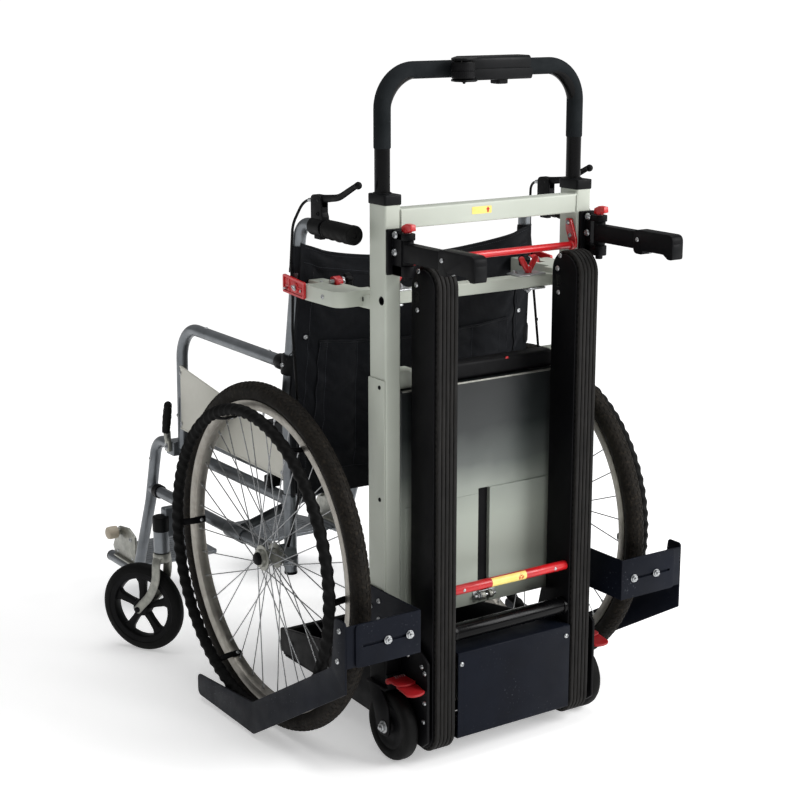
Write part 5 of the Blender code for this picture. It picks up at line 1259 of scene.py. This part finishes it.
    # footrest bracket with its buffer roller on the hanger tube
    br = prism(rounded([(0.8640, 0.1000), (0.8640, 0.1620), (0.8960, 0.1740), (0.9420, 0.1680), (0.9720, 0.1180), (0.9600, 0.1010)], [0.004, 0.010, 0.012, 0.012, 0.006, 0.004], 6),
               "x", s * 0.2446, s * 0.2496, 0.0012)
    flange_ = rbox(s * 0.2400, s * 0.2560, 0.8700, 0.9560, 0.1000, 0.1045, 0.0010)
    stub = rod((s * 0.247, 0.9370, 0.1570), (s, 0, 0), 0.0070, -0.008, 0.012, 24)
    piece(f"footrest_bracket_{side}", merge(br, flange_, stub), PALE, "carrier_frame")
    roll = lathe([(0, 0.0075), (0.0100, 0.0075), (0.0126, 0.0090), (0.0132, 0.0120), (0.0132, 0.0250), (0.0122, 0.0290), (0.0090, 0.0310), (0, 0.0315)],
                 (s * 0.2470, 0.9370, 0.1570), (s, 0, 0), 36)
    piece(f"footrest_roller_{side}", roll, BEIGE, "carrier_frame")
    piece(f"footrest_rivets_{side}", merge(rivet((s * 0.2496, 0.8790, 0.1120), (s, 0, 0), 0.0034, 0.0014), rivet((s * 0.2496, 0.9480, 0.1120), (s, 0, 0), 0.0034, 0.0014),
                                           pan_screw((s * 0.2496, 0.8850, 0.1520), (s, 0, 0), 0.0044, 0.0022)), ZINC, "carrier_frame")

    # footplate: ribbed tread on a rounded plate
    plate = prism(rounded([(s * 0.2305, 0.8780), (s * 0.2305, 0.9700), (s * 0.2100, 1.0300), (s * 0.0700, 1.0300), (s * 0.0500, 0.9900), (s * 0.0500, 0.8780)], 0.012, 7),
                  "z", 0.0880, 0.0954, 0.0016, 3)
    ribs = [prism(rounded([(s * 0.0680, y - 0.0020), (s * 0.2060, y - 0.0020), (s * 0.2060, y + 0.0020), (s * 0.0680, y + 0.0020)], 0.0018, 3), "z", 0.0950, 0.0962, 0.0004)
            for y in [0.8920 + 0.0125 * k for k in range(10)]]
    hinge = [rod((s * 0.2325, 0, 0.0920), (0, 1, 0), 0.0040, 0.8780, 0.9700, 24)]
    piece(f"footplate_{side}", merge(plate, *hinge), SILVER, f"footplate_{side}", f"footplate_{side}")
    piece(f"footplate_tread_{side}", merge(*ribs), SILVER, f"footplate_{side}")


# ---------------------------------------------------------------- driving wheels
WX, WY, WZ, WR = 0.289, 0.2394, 0.305, 0.305
for side, s in SIDES:
    c = V((s * WX, WY, WZ))
    body = f"drive_wheel_{side}"
    tc, tr = 0.2880, 0.0162
    sec = [(0.2726, 0.0098), (0.2726, -0.0098)]
    for k in range(25):
        a = math.radians(-140 + 280 * k / 24)
        sec.append((tc + tr * math.cos(a), tr * math.sin(a)))
    tyre = lathe(sec, c, (s, 0, 0), 144, closed=True)
    piece(f"drive_tyre_{side}", tyre, TYRE, body)
    # tread: rows of slanted blocks with ribs on the shoulders
    axis, e1, e2 = basis((s, 0, 0))
    blocks = bmesh.new()
    rows = [(-66, -46, 0.0), (-43, -25, 0.5), (-22, -4, 0.0), (4, 22, 0.5), (25, 43, 0.0), (46, 66, 0.5)]
    COUNT = 132
    for lo, hi, ph in rows:
        skew = 0.020 if (lo + hi) > 0 else -0.020
        for k in range(COUNT):
            u0 = 2 * math.pi * (k + ph) / COUNT
            du = 2 * math.pi / COUNT * 0.62
            quad = []
            for v_, uu in ((lo, u0 + skew * (lo / 45.0)), (hi, u0 + skew * (hi / 45.0)), (hi, u0 + du + skew * (hi / 45.0)), (lo, u0 + du + skew * (lo / 45.0))):
                quad.append((math.radians(v_), uu))
            low, top = [], []
            cv = sum(q[0] for q in quad) / 4
            cu = sum(q[1] for q in quad) / 4
            for v_, uu in quad:
                for lst, rr, sh in ((low, tr - 0.0006, 1.0), (top, tr + 0.0008, 0.80)):
                    vv, u3 = cv + (v_ - cv) * sh, cu + (uu - cu) * sh
                    rad_ = tc + rr * math.cos(vv)
                    lst.append(blocks.verts.new(c + axis * (rr * math.sin(vv)) + e1 * (rad_ * math.cos(u3)) + e2 * (rad_ * math.sin(u3))))
            blocks.faces.new(low)
            blocks.faces.new(top)
            for q in range(4):
                blocks.faces.new((low[q], low[(q + 1) % 4], top[(q + 1) % 4], top[q]))
    piece(f"tyre_tread_{side}", blocks, TYRE, body, angle=20)
    # alloy rim with a rolled well
    rim = lathe([(0.2560, 0.0076), (0.2556, 0.0), (0.2560, -0.0076), (0.2574, -0.0100), (0.2640, -0.0116), (0.2700, -0.0122), (0.2736, -0.0118), (0.2740, -0.0100),
                 (0.2725, -0.0090), (0.2725, 0.0090), (0.2740, 0.0100), (0.2736, 0.0118), (0.2700, 0.0122), (0.2640, 0.0116), (0.2574, 0.0100)], c, (s, 0, 0), 144, closed=True)
    piece(f"drive_wheel_{side}", rim, ALLOY, body, f"drive_wheel_{side}")
    # thirty-six laced spokes and their nipples
    wires, nips = [], []
    for k in range(36):
        ar = 2 * math.pi * (k + 0.35) / 36
        out_ = k % 2
        lean_ = 1 if (k // 2) % 2 else -1
        ah = ar + lean_ * math.radians(64)
        fx = 0.0145 if out_ else -0.0105
        hub_p = c + axis * fx + e1 * (0.0195 * math.cos(ah)) + e2 * (0.0195 * math.sin(ah))
        rim_p = c + axis * (0.0020 if out_ else -0.0006) + e1 * (0.2572 * math.cos(ar)) + e2 * (0.2572 * math.sin(ar))
        wires.append(pipe([hub_p, rim_p], 0.00105, 6))
        d = (rim_p - hub_p).normalized()
        nips.append(pipe([rim_p - d * 0.0105, rim_p - d * 0.0095, rim_p - d * 0.002, rim_p + d * 0.001], [0.0011, 0.0019, 0.0021, 0.0021], 8))
    piece(f"spokes_{side}", merge(*wires), SPOKE, body)
    piece(f"spoke_nipples_{side}", merge(*nips), ZINC, body)
    hub = lathe([(0, -0.0200), (0.0150, -0.0200), (0.0150, -0.0130), (0.0222, -0.0124), (0.0226, -0.0110), (0.0222, -0.0096), (0.0140, -0.0085), (0.0125, 0.0),
                 (0.0140, 0.0125), (0.0222, 0.0134), (0.0226, 0.0147), (0.0222, 0.0160), (0.0160, 0.0168), (0.0150, 0.0230), (0, 0.0230)], c, (s, 0, 0), 56)
    piece(f"wheel_hub_{side}", hub, PALE, body)
    cap = lathe([(0, 0.0310), (0.0050, 0.0306), (0.0092, 0.0290), (0.0110, 0.0262), (0.0116, 0.0226), (0, 0.0226)], c, (s, 0, 0), 36)
    piece(f"hub_cap_{side}", cap, PLASTIC, body)
    piece(f"wheel_axle_{side}", rod(c, (s, 0, 0), 0.0060, -0.0440, -0.0190, 20), ZINC, body)
    # handrim: flat ribbon twisted along its length
    hr = bmesh.new()
    NA, NB, TURNS = 800, 16, 40
    hc = V((s * 0.332, WY, WZ))
    rings_ = []
    for i in range(NA):
        u = 2 * math.pi * i / NA
        d = e1 * math.cos(u) + e2 * math.sin(u)
        row = []
        for j in range(NB):
            ca, sa = 0.0110 * math.cos(2 * math.pi * j / NB), 0.0090 * math.sin(2 * math.pi * j / NB)
            a, b = math.cos(TURNS * u), math.sin(TURNS * u)
            row.append(hr.verts.new(hc + d * (0.262 + ca * a - sa * b) + axis * (ca * b + sa * a)))
        rings_.append(row)
    for i in range(NA):
        p, q = rings_[i], rings_[(i + 1) % NA]
        for j in range(NB):
            hr.faces.new((p[j], p[(j + 1) % NB], q[(j + 1) % NB], q[j]))
    piece(f"handrim_{side}", hr, RUBBER, body, angle=48)
    # six strap brackets from the rim to the handrim
    straps, ss = [], []
    for k in range(6):
        a = 2 * math.pi * k / 6
        d = V((0, math.cos(a), math.sin(a)))
        t_ = V((s, 0, 0)).cross(d).normalized()
        path = spline([V((s * (WX - 0.0095), WY, WZ)) + d * 0.2545, V((s * (WX + 0.004), WY, WZ)) + d * 0.2540, V((s * (WX + 0.016), WY, WZ)) + d * 0.2550,
                       V((s * (WX + 0.028), WY, WZ)) + d * 0.2580, V((s * 0.330, WY, WZ)) + d * 0.2610], 5)
        straps.append(pipe(path, 0.0062, 14, 0.30, t_))
        ss.append(rivet(V((s * (WX - 0.001), WY, WZ)) + d * 0.2524, -d, 0.0034, 0.0014))
    piece(f"handrim_straps_{side}", merge(*straps), BLACK, body, angle=50)
    piece(f"handrim_rivets_{side}", merge(*ss), ZINC, body)

# ---------------------------------------------------------------- front casters
FR, FW, TRAIL = 0.0875, 0.028, 0.045
SW = math.radians(31.7)
for side, s in SIDES:
    t = V((s * math.sin(SW), math.cos(SW), 0))
    n = V((t.y, -t.x, 0))
    stem = V((s * 0.300, 0.638, 0))
    axle = stem + t * TRAIL + V((0, 0, FR))

    def turn_in(bm):
        """Shape drawn flat, x along the caster's heading and y up, stood on its axle."""
        for v in bm.verts:
            x, y, z = v.co
            v.co = axle + t * x + V((0, 0, y)) + n * z
        return bm

    w = FW / 2
    tyre = lathe([(0.0690, -0.0115), (0.0720, -w + 0.0010), (0.0780, -w + 0.0020), (0.0835, -w + 0.0042), (0.0868, -w + 0.0080), (0.0875, -0.0030), (0.0875, 0.0030),
                  (0.0868, w - 0.0080), (0.0835, w - 0.0042), (0.0780, w - 0.0020), (0.0720, w - 0.0010), (0.0690, 0.0115)], axle, n, 96, closed=True)
    piece(f"caster_tyre_{side}", tyre, RUBBER, f"caster_wheel_{side}")
    ring = lathe([(0.0580, -0.0075), (0.0600, -0.0110), (0.0660, -0.0120), (0.0700, -0.0118), (0.0700, 0.0118), (0.0660, 0.0120), (0.0600, 0.0110), (0.0580, 0.0075)],
                 axle, n, 84, closed=True)
    hub = lathe([(0.0056, -0.0155), (0.0120, -0.0155), (0.0150, -0.0140), (0.0170, -0.0080), (0.0170, 0.0080), (0.0150, 0.0140), (0.0120, 0.0155), (0.0056, 0.0155)],
                axle, n, 48, closed=True)
    arms = []
    for k in range(5):
        a = math.radians(18 + 72 * k)
        ca, sa = math.cos(a), math.sin(a)
        outline = rounded([(0.0120, -0.0068), (0.0300, -0.0058), (0.0500, -0.0074), (0.0600, -0.0150), (0.0620, -0.0150), (0.0620, 0.0150), (0.0600, 0.0150), (0.0500, 0.0074),
                           (0.0300, 0.0058), (0.0120, 0.0068)], [0, 0.02, 0.012, 0.002, 0, 0, 0.002, 0.012, 0.02, 0], 5)
        q = prism([(x * ca - y * sa, x * sa + y * ca) for x, y in outline], "z", -0.0062, 0.0062, 0.0014, 2)
        arms.append(turn_in(q))
    piece(f"caster_wheel_{side}", merge(ring, hub, *arms), PLASTIC, f"caster_wheel_{side}", f"caster_wheel_{side}")
    piece(f"caster_axle_{side}", merge(rod(axle, n, 0.0050, -0.0238, 0.0238, 20)), ZINC, f"caster_wheel_{side}")
    # fork: crown under the housing and two curved blades
    crown = lathe([(0, 0.1860), (0.0150, 0.1860), (0.0172, 0.1880), (0.0172, 0.2000), (0.0160, 0.2030), (0.0090, 0.2045), (0.0076, 0.2045), (0.0076, 0.2480), (0, 0.2480)], stem, (0, 0, 1), 40)
    blades, caps = [], []
    for k in (-1, 1):
        off = n * (k * 0.0208)
        line = spline([stem + n * (k * 0.0060) + V((0, 0, 0.1950)) + t * 0.000, stem + n * (k * 0.0150) + V((0, 0, 0.1940)) + t * 0.001, stem + off + V((0, 0, 0.1800)) + t * 0.001,
                       stem + off + V((0, 0, 0.1500)) + t * 0.0040, stem + off + V((0, 0, 0.1200)) + t * 0.0170, axle + off + V((0, 0, 0.0060)) - t * 0.0050,
                       axle + off - V((0, 0, 0.0050)) + t * 0.0050], 8)
        m_ = len(line)
        rr = [0.0100 - 0.0016 * (i / m_) for i in range(m_)]
        rr[-1] *= 0.55
        rr[-2] *= 0.80
        rr[-3] *= 0.93
        blades.append(pipe(line, rr, 24, 0.36, t))
        caps.append(rod(axle + n * (k * 0.0208), n, 0.0056, 0.0020 if k > 0 else -0.0055, 0.0055 if k > 0 else -0.0020, 24, 0.0008))
    piece(f"caster_fork_{side}", merge(crown, *blades), PALE, f"caster_fork_{side}", f"caster_fork_{side}", angle=50)
    piece(f"caster_bolts_{side}", merge(*caps), BLACK, f"caster_fork_{side}")

# ---------------------------------------------------------------- cross brace with the seat tubes
brace, clips = [], []
for _, s in SIDES:
    brace.append(rod((s * 0.2270, 0, 0.4280), (0, 1, 0), 0.0100, 0.2620, 0.6400, 28, 0.001))
    dy = 0.0 if s < 0 else 0.0
    brace.append(pipe([(s * 0.2270, 0.4300 + dy, 0.4280), (-s * (SX - 0.0122), 0.4300 + dy, 0.2955)], 0.0090, 28))
    brace.append(lathe([(0.0118, -0.030), (0.0139, -0.030), (0.0145, -0.029), (0.0145, 0.029), (0.0139, 0.030), (0.0118, 0.030)], (s * SX, 0.4300, 0.2900), (0, 1, 0), 32, closed=True))
    for y in (0.300, 0.600):
        clips.append(rbox(s * 0.2330, s * 0.2590, y - 0.010, y + 0.010, 0.4098, 0.4300, 0.0030))
piece("cross_brace", merge(*brace), SILVER, "carrier_frame", "cross_brace")
piece("seat_tube_saddles", merge(*clips), PLASTIC, "carrier_frame")
piece("brace_pivot", merge(hex_bolt((0, 0.4392, 0.3590), (0, 1, 0), 0.0070, 0.0050), hex_bolt((0, 0.4208, 0.3590), (0, -1, 0), 0.0070, 0.0050)), ZINC, "carrier_frame")


# ---------------------------------------------------------------- cloth of the chair
def settle(points, nu, nv, pinned, cap, frames=24, shrink=-0.012, weight=1.0):
    """Grid of cloth points hung from its pinned ones until it lies still; no
    point moves further than cap."""
    me = bpy.data.meshes.new("hang")
    faces = [(i * (nv + 1) + j, (i + 1) * (nv + 1) + j, (i + 1) * (nv + 1) + j + 1, i * (nv + 1) + j + 1) for i in range(nu) for j in range(nv)]
    me.from_pydata([tuple(p) for p in points], [], faces)
    ob = bpy.data.objects.new("hang", me)
    SCENE.collection.objects.link(ob)
    group = ob.vertex_groups.new(name="held")
    group.add(pinned, 1.0, "REPLACE")
    mod = ob.modifiers.new("cloth", "CLOTH")
    cs = mod.settings
    cs.vertex_group_mass = "held"
    cs.quality = 8
    cs.mass = 0.35
    cs.tension_stiffness = cs.compression_stiffness = 25
    cs.shear_stiffness = 12
    cs.bending_stiffness = 2.5
    cs.air_damping = 2
    cs.shrink_min = shrink
    cs.effector_weights.gravity = weight
    mod.collision_settings.use_collision = False
    mod.point_cache.frame_start, mod.point_cache.frame_end = 1, frames
    for f in range(1, frames + 1):
        SCENE.frame_set(f)
    dg = bpy.context.evaluated_depsgraph_get()
    done = ob.evaluated_get(dg)
    out = []
    for p, v in zip(points, done.data.vertices):
        d = v.co - V(p)
        if d.length > cap:
            d *= cap / d.length
        out.append(V(p) + d)
    bpy.data.objects.remove(ob, do_unlink=True)
    SCENE.frame_set(1)
    return out


def curtain(points, nu, nv, thick, keep=lambda i, j: True, offset=0.0):
    """Closed sheet of a thickness made on a grid of points; offset shifts it
    along its own normals, one number or a function of the column and row."""
    at = lambda i, j: points[i * (nv + 1) + j]
    def normal(i, j):
        a, b = at(min(i + 1, nu), j) - at(max(i - 1, 0), j), at(i, min(j + 1, nv)) - at(i, max(j - 1, 0))
        return a.cross(b).normalized()
    bm = bmesh.new()
    sheets_ = ({}, {})
    cells = [(i, j) for i in range(nu) for j in range(nv) if keep(i, j)]
    used = {(i + a, j + b) for i, j in cells for a in (0, 1) for b in (0, 1)}
    for i, j in used:
        n, o = normal(i, j), offset(i, j) if callable(offset) else offset
        for lay, e in zip(sheets_, (o - thick / 2, o + thick / 2)):
            lay[i, j] = bm.verts.new(at(i, j) + n * e)
    count = {}
    for i, j in cells:
        ring = [(i, j), (i + 1, j), (i + 1, j + 1), (i, j + 1)]
        bm.faces.new([sheets_[0][k] for k in reversed(ring)])
        bm.faces.new([sheets_[1][k] for k in ring])
        for a, b in zip(ring, ring[1:] + ring[:1]):
            count[a, b] = True
    for a, b in count:
        if (b, a) not in count:
            bm.faces.new((sheets_[0][a], sheets_[0][b], sheets_[1][b], sheets_[1][a]))
    return bm


def stitches(line, normals, pitch=0.0042, share=0.62, r=0.00042):
    """Row of short threads along a line of points."""
    out = []
    run = [0.0]
    for a, b in zip(line, line[1:]):
        run.append(run[-1] + (b - a).length)
    def at(d):
        for k in range(len(line) - 1):
            if run[k + 1] >= d:
                t = (d - run[k]) / max(run[k + 1] - run[k], 1e-9)
                return line[k].lerp(line[k + 1], t), normals[k]
        return line[-1], normals[-1]
    d = pitch * 0.5
    while d + pitch * share < run[-1]:
        (p, n), (q, m) = at(d), at(d + pitch * share)
        out.append(pipe([p, p.lerp(q, 0.25) + n * 0.00035, p.lerp(q, 0.75) + m * 0.00035, q], [r * 0.7, r, r, r * 0.7], 6))
        d += pitch
    return out


def smooth(t):
    t = max(0.0, min(1.0, t))
    return t * t * (3 - 2 * t)


# back: stretched between the rear sides of the two posts, its top edge hanging
NU, NV = 92, 88
EDGE_X, EDGE_Y = 0.2520, 0.0133


hung = []
for i in range(NU + 1):
    u = i / NU
    span = 1 - (2 * u - 1) ** 2
    top = 0.8430 - 0.0250 * span + (0.0060 if u < 0.5 else 0.0) * (1 - span)
    for j in range(NV + 1):
        v = j / NV
        z = 0.4080 + (top - 0.4080) * v
        bow = 0.0110 * min(1.0, span * 1.25) ** 0.8
        ripple = 0.0011 * math.sin(6.3 * v + 9.0 * u) * math.sin(math.pi * u) + 0.0009 * math.sin(23.0 * v - 7.0 * u + 1.0) * math.exp(-((u - 0.16) / 0.12) ** 2)
        ripple += 0.0009 * math.sin(27.0 * v + 5.0 * u + 0.4) * math.exp(-((u - 0.86) / 0.10) ** 2)
        wide, deep = post_at(z)
        hung.append(V(((2 * u - 1) * (wide + 0.0045), deep - EDGE_Y + bow + ripple, z)))
held = [i * (NV + 1) + j for i in range(NU + 1) for j in range(NV + 1) if i < 2 or i > NU - 2]
hung = settle(hung, NU, NV, held, 0.008)
back = piece("back_sling", curtain(hung, NU, NV, 0.0022), NYLON, "carrier_frame", "back_sling", angle=60)

at_back = lambda i, j: hung[i * (NV + 1) + j]
def back_normal(i, j):
    a = at_back(min(i + 1, NU), j) - at_back(max(i - 1, 0), j)
    b = at_back(i, min(j + 1, NV)) - at_back(i, max(j - 1, 0))
    return a.cross(b).normalized()


def column(x):
    return int(round((x + EDGE_X) / (2 * EDGE_X) * NU))


def row(z):
    return int(round((z - 0.4080) / (0.8430 - 0.4080) * NV))


# folded hems along the top and both posts, on the rear side
rear = 0.0021 if back_normal(NU // 2, NV // 2).y < 0 else -0.0021
top_row = NV - 7
hem_top = piece("back_hem_top", curtain(hung, NU, NV, 0.0018, lambda i, j: j >= top_row, rear), NYLON, "carrier_frame", angle=60)
hem_side = [piece(f"back_hem_{n}", curtain(hung, NU, NV, 0.0018, lambda i, j, lo=lo, hi=hi: lo <= i < hi and j < top_row, rear), NYLON, "carrier_frame", angle=60)
            for n, lo, hi in (("left", 0, 6), ("right", NU - 6, NU))]

# pocket sewn on the rear, puckered at its upright seams
SEAMS = (-0.205, -0.186, -0.121, 0.125, 0.188, 0.205)
P_LO, P_HI = row(0.452), row(0.683)
C_LO, C_HI = column(SEAMS[0]), column(SEAMS[-1])


def pocket_gap(i, j):
    x = -EDGE_X + 2 * EDGE_X * i / NU
    t = (j - P_LO) / (P_HI - P_LO)
    gap = 0.0
    for a, b in zip(SEAMS, SEAMS[1:]):
        if a <= x <= b:
            k = (x - a) / (b - a)
            gap = (0.0048 if b - a > 0.1 else 0.0036 if b - a > 0.03 else 0.0012) * math.sin(math.pi * k) ** 0.55
    near = min(abs(x - c) for c in SEAMS)
    pucker = 0.0014 * math.sin(t * 46.0 + x * 90.0) * math.exp(-((near - 0.010) / 0.010) ** 2) + 0.0008 * math.sin(t * 19.0 - x * 40.0)
    hold = smooth(t / 0.16)
    return math.copysign(0.0022 + max(0.0, gap + pucker) * hold, rear)


pocket_sheet = piece("back_pocket", curtain(hung, NU, NV, 0.0014, lambda i, j: C_LO <= i < C_HI and P_LO <= j < P_HI, pocket_gap), NYLON, "carrier_frame", angle=60)
rim = [at_back(i, P_HI) + back_normal(i, P_HI) * (pocket_gap(i, P_HI) + math.copysign(0.0006, rear)) for i in range(C_LO, C_HI + 1)]
rim_band = pipe(rim, 0.0021, 12)
pocket_edge = piece("pocket_binding", rim_band, NYLON, "carrier_frame", angle=60)

# seams
lines = []
for i in [column(x) for x in SEAMS]:
    run_ = list(range(P_LO, P_HI + 1))
    lines.append(([at_back(i, j) + back_normal(i, j) * (pocket_gap(i, j) + math.copysign(0.0009, rear)) for j in run_], [back_normal(i, j) * math.copysign(1, rear) for j in run_]))
for j, lo, hi in ((top_row + 1, 1, NU - 1), (NV - 1, 1, NU - 1)):
    run_ = list(range(lo, hi + 1))
    lines.append(([at_back(i, j) + back_normal(i, j) * (rear + math.copysign(0.0011, rear)) for i in run_], [back_normal(i, j) * math.copysign(1, rear) for i in run_]))
for i in (5, NU - 5):
    run_ = list(range(1, top_row))
    lines.append(([at_back(i, j) + back_normal(i, j) * (rear + math.copysign(0.0011, rear)) for j in run_], [back_normal(i, j) * math.copysign(1, rear) for j in run_]))
run_ = list(range(C_LO, C_HI + 1))
lines.append(([at_back(i, P_LO) + back_normal(i, P_LO) * (pocket_gap(i, P_LO) + math.copysign(0.0009, rear)) for i in run_], [back_normal(i, P_LO) * math.copysign(1, rear) for i in run_]))
threads = piece("back_stitching", merge(*[q for ln, nn in lines for q in stitches(ln, nn)]), THREAD, "carrier_frame", angle=60)

# loops of the cloth round the tops of the posts
for n, s in SIDES:
    sec_ = []
    for r in (0.0122, 0.0138):
        arc = [(r * math.sin(math.radians(-100 + 290 * k / 26)), -r * math.cos(math.radians(-100 + 290 * k / 26))) for k in range(27)]
        sec_ += arc if r < 0.013 else arc[::-1]
    frames_ = []
    for k in range(9):
        z = 0.7990 + 0.0440 * k / 8
        wide, deep = post_at(z)
        frames_.append((V((s * wide, deep + 0.0003 * math.sin(2.1 * k), z)), V((s, 0, 0)), V((0, 1, 0))))
    piece(f"back_loop_{n}", sweep(sec_, frames_), NYLON, "carrier_frame", angle=60)

# the pocket's snaps
fix = []
for i in (column(-0.231), column(0.232)):
    j = row(0.692)
    n = back_normal(i, j) * math.copysign(1, rear)
    fix.append(place(lathe([(0, 0.0012), (0.0014, 0.0014), (0.0024, 0.0020), (0.0036, 0.0017), (0.0042, 0.0006), (0.0042, -0.0004), (0, -0.0004)], (0, 0, 0), (0, 0, 1), 24),
                     at_back(i, j) + n * 0.0030, n))
snaps = piece("back_screws", merge(*fix), ZINC, "carrier_frame")

# seat: sling over the two seat tubes, dipping between them
SU, SV = 70, 56
sat = []
for i in range(SU + 1):
    u = i / SU
    x = -0.2400 + 0.4800 * u
    over = max(0.0, abs(x) - 0.2270)
    dip = 0.0120 * (1 - (x / 0.2270) ** 2) if abs(x) < 0.2270 else 0.0
    for j in range(SV + 1):
        v = j / SV
        y = 0.2640 + 0.3840 * v
        wave_ = 0.0009 * math.sin(11.0 * u + 4.0 * v) * math.sin(math.pi * u)
        sat.append(V((x, y, 0.4400 - dip * (0.75 + 0.25 * math.sin(math.pi * v)) - over * over * 38.0 + wave_)))
held = [i * (SV + 1) + j for i in range(SU + 1) for j in range(SV + 1) if i < 5 or i > SU - 5]
sat = settle(sat, SU, SV, held, 0.005)
seat = piece("seat_sling", curtain(sat, SU, SV, 0.0024), NYLON, "carrier_frame", "seat_sling", angle=60)
up = 0.0022
hems = [piece(f"seat_hem_{n}", curtain(sat, SU, SV, 0.0018, lambda i, j, lo=lo, hi=hi: lo <= j < hi and 2 <= i < SU - 2, up), NYLON, "carrier_frame", angle=60)
        for n, lo, hi in (("rear", 0, 4), ("front", SV - 4, SV))]
seat_at = lambda i, j: sat[i * (SV + 1) + j]
rows_ = []
for j in (3, SV - 3):
    rows_ += stitches([seat_at(i, j) + V((0, 0, 0.0033)) for i in range(3, SU - 2)], [V((0, 0, 1))] * SU)
for i in (5, SU - 5):
    rows_ += stitches([seat_at(i, j) + V((0, 0, 0.0014)) for j in range(5, SV - 4)], [V((0, 0, 1))] * SV)
seat_thread = piece("seat_stitching", merge(*rows_), THREAD, "carrier_frame", angle=60)
seat_screws = piece("seat_screws", merge(*[pan_screw(seat_at(i, j) + V((0, 0, 0.0012)), (0, 0, 1), 0.0046, 0.0020)
                                           for i in (int(round((x + 0.24) / 0.48 * SU)) for x in (-0.2270, 0.2270)) for j in (8, 18, 28, 38, 48)]), ZINC, "carrier_frame")


# ---------------------------------------------------------------- floor, light and camera
def floor_paint():
    s = Surf("studio_floor", 0.85, 0.0, 0.15)
    s.color(s.ramp(s.noise(0.7, 3.0, 0.5), (0.30, C(246, 246, 246)), (0.70, C(250, 250, 250))))
    s.bump((s.noise(60.0, 2.0, 0.5), 0.02, 0.001))
    x, y, z = s.xyz()
    far = s.math("SQRT", s.math("ADD", s.math("MULTIPLY", x, x), s.math("MULTIPLY", y, y)))
    glow = s.ramp(s.level(far, 0.0, 1.0, 0.0, 10.0), (0.0, (0.35, 0.35, 0.35)), (0.10, (0.40, 0.40, 0.40)), (0.28, (0.54, 0.54, 0.54)), (0.50, (0.66, 0.66, 0.66)), (0.80, (0.80, 0.80, 0.80)))
    s.put(s.b.inputs["Emission Color"], glow)
    s.b.inputs["Emission Strength"].default_value = 1.0
    return s.m


ground = bmesh.new()
half = 160.0
ground.faces.new([ground.verts.new(p) for p in ((-half, -half, -0.0006), (half, -half, -0.0006), (half, half, -0.0006), (-half, half, -0.0006))])
me = bpy.data.meshes.new("studio_floor")
ground.to_mesh(me)
ground.free()
link("studio_floor", me, floor_paint())


def softbox(name, at, aim, size, watts, tint=(1.0, 1.0, 1.0)):
    lamp = bpy.data.lights.new(name, "AREA")
    lamp.shape = "RECTANGLE"
    lamp.size, lamp.size_y = size
    lamp.energy = watts
    lamp.color = tint
    ob = bpy.data.objects.new(name, lamp)
    SCENE.collection.objects.link(ob)
    ob.location = at
    ob.rotation_euler = (V(aim) - V(at)).to_track_quat("-Z", "Y").to_euler()


softbox("key_light", (2.4, -3.2, 2.6), (0.0, -0.1, 0.55), (2.4, 2.4), 175.0)
softbox("top_light", (0.2, 0.2, 4.2), (0.0, 0.0, 0.4), (3.6, 3.6), 85.0)

world = bpy.data.worlds.new("studio")
SCENE.world = world
world.use_nodes = True
world.node_tree.nodes["Background"].inputs["Color"].default_value = (1.0, 1.0, 1.0, 1.0)
world.node_tree.nodes["Background"].inputs["Strength"].default_value = 0.27
SCENE.view_settings.view_transform = "Standard"
SCENE.view_settings.look = "None"

TURN, TILT = math.radians(34.246), math.radians(13.685)
ahead = V((math.cos(TILT) * math.sin(TURN), math.cos(TILT) * math.cos(TURN), -math.sin(TILT)))
right = V((math.cos(TURN), -math.sin(TURN), 0.0))
above = right.cross(ahead)
cam = bpy.data.cameras.new("camera")
cam.sensor_width = 36.0
cam.lens = 77.697
cam.shift_y = 0.0049
cam.clip_end = 500.0
eye = bpy.data.objects.new("camera", cam)
SCENE.collection.objects.link(eye)
eye.matrix_world = Matrix(((right.x, above.x, -ahead.x, -1.6977), (right.y, above.y, -ahead.y, -2.6324), (right.z, above.z, -ahead.z, 1.2653), (0, 0, 0, 1)))
SCENE.camera = eye
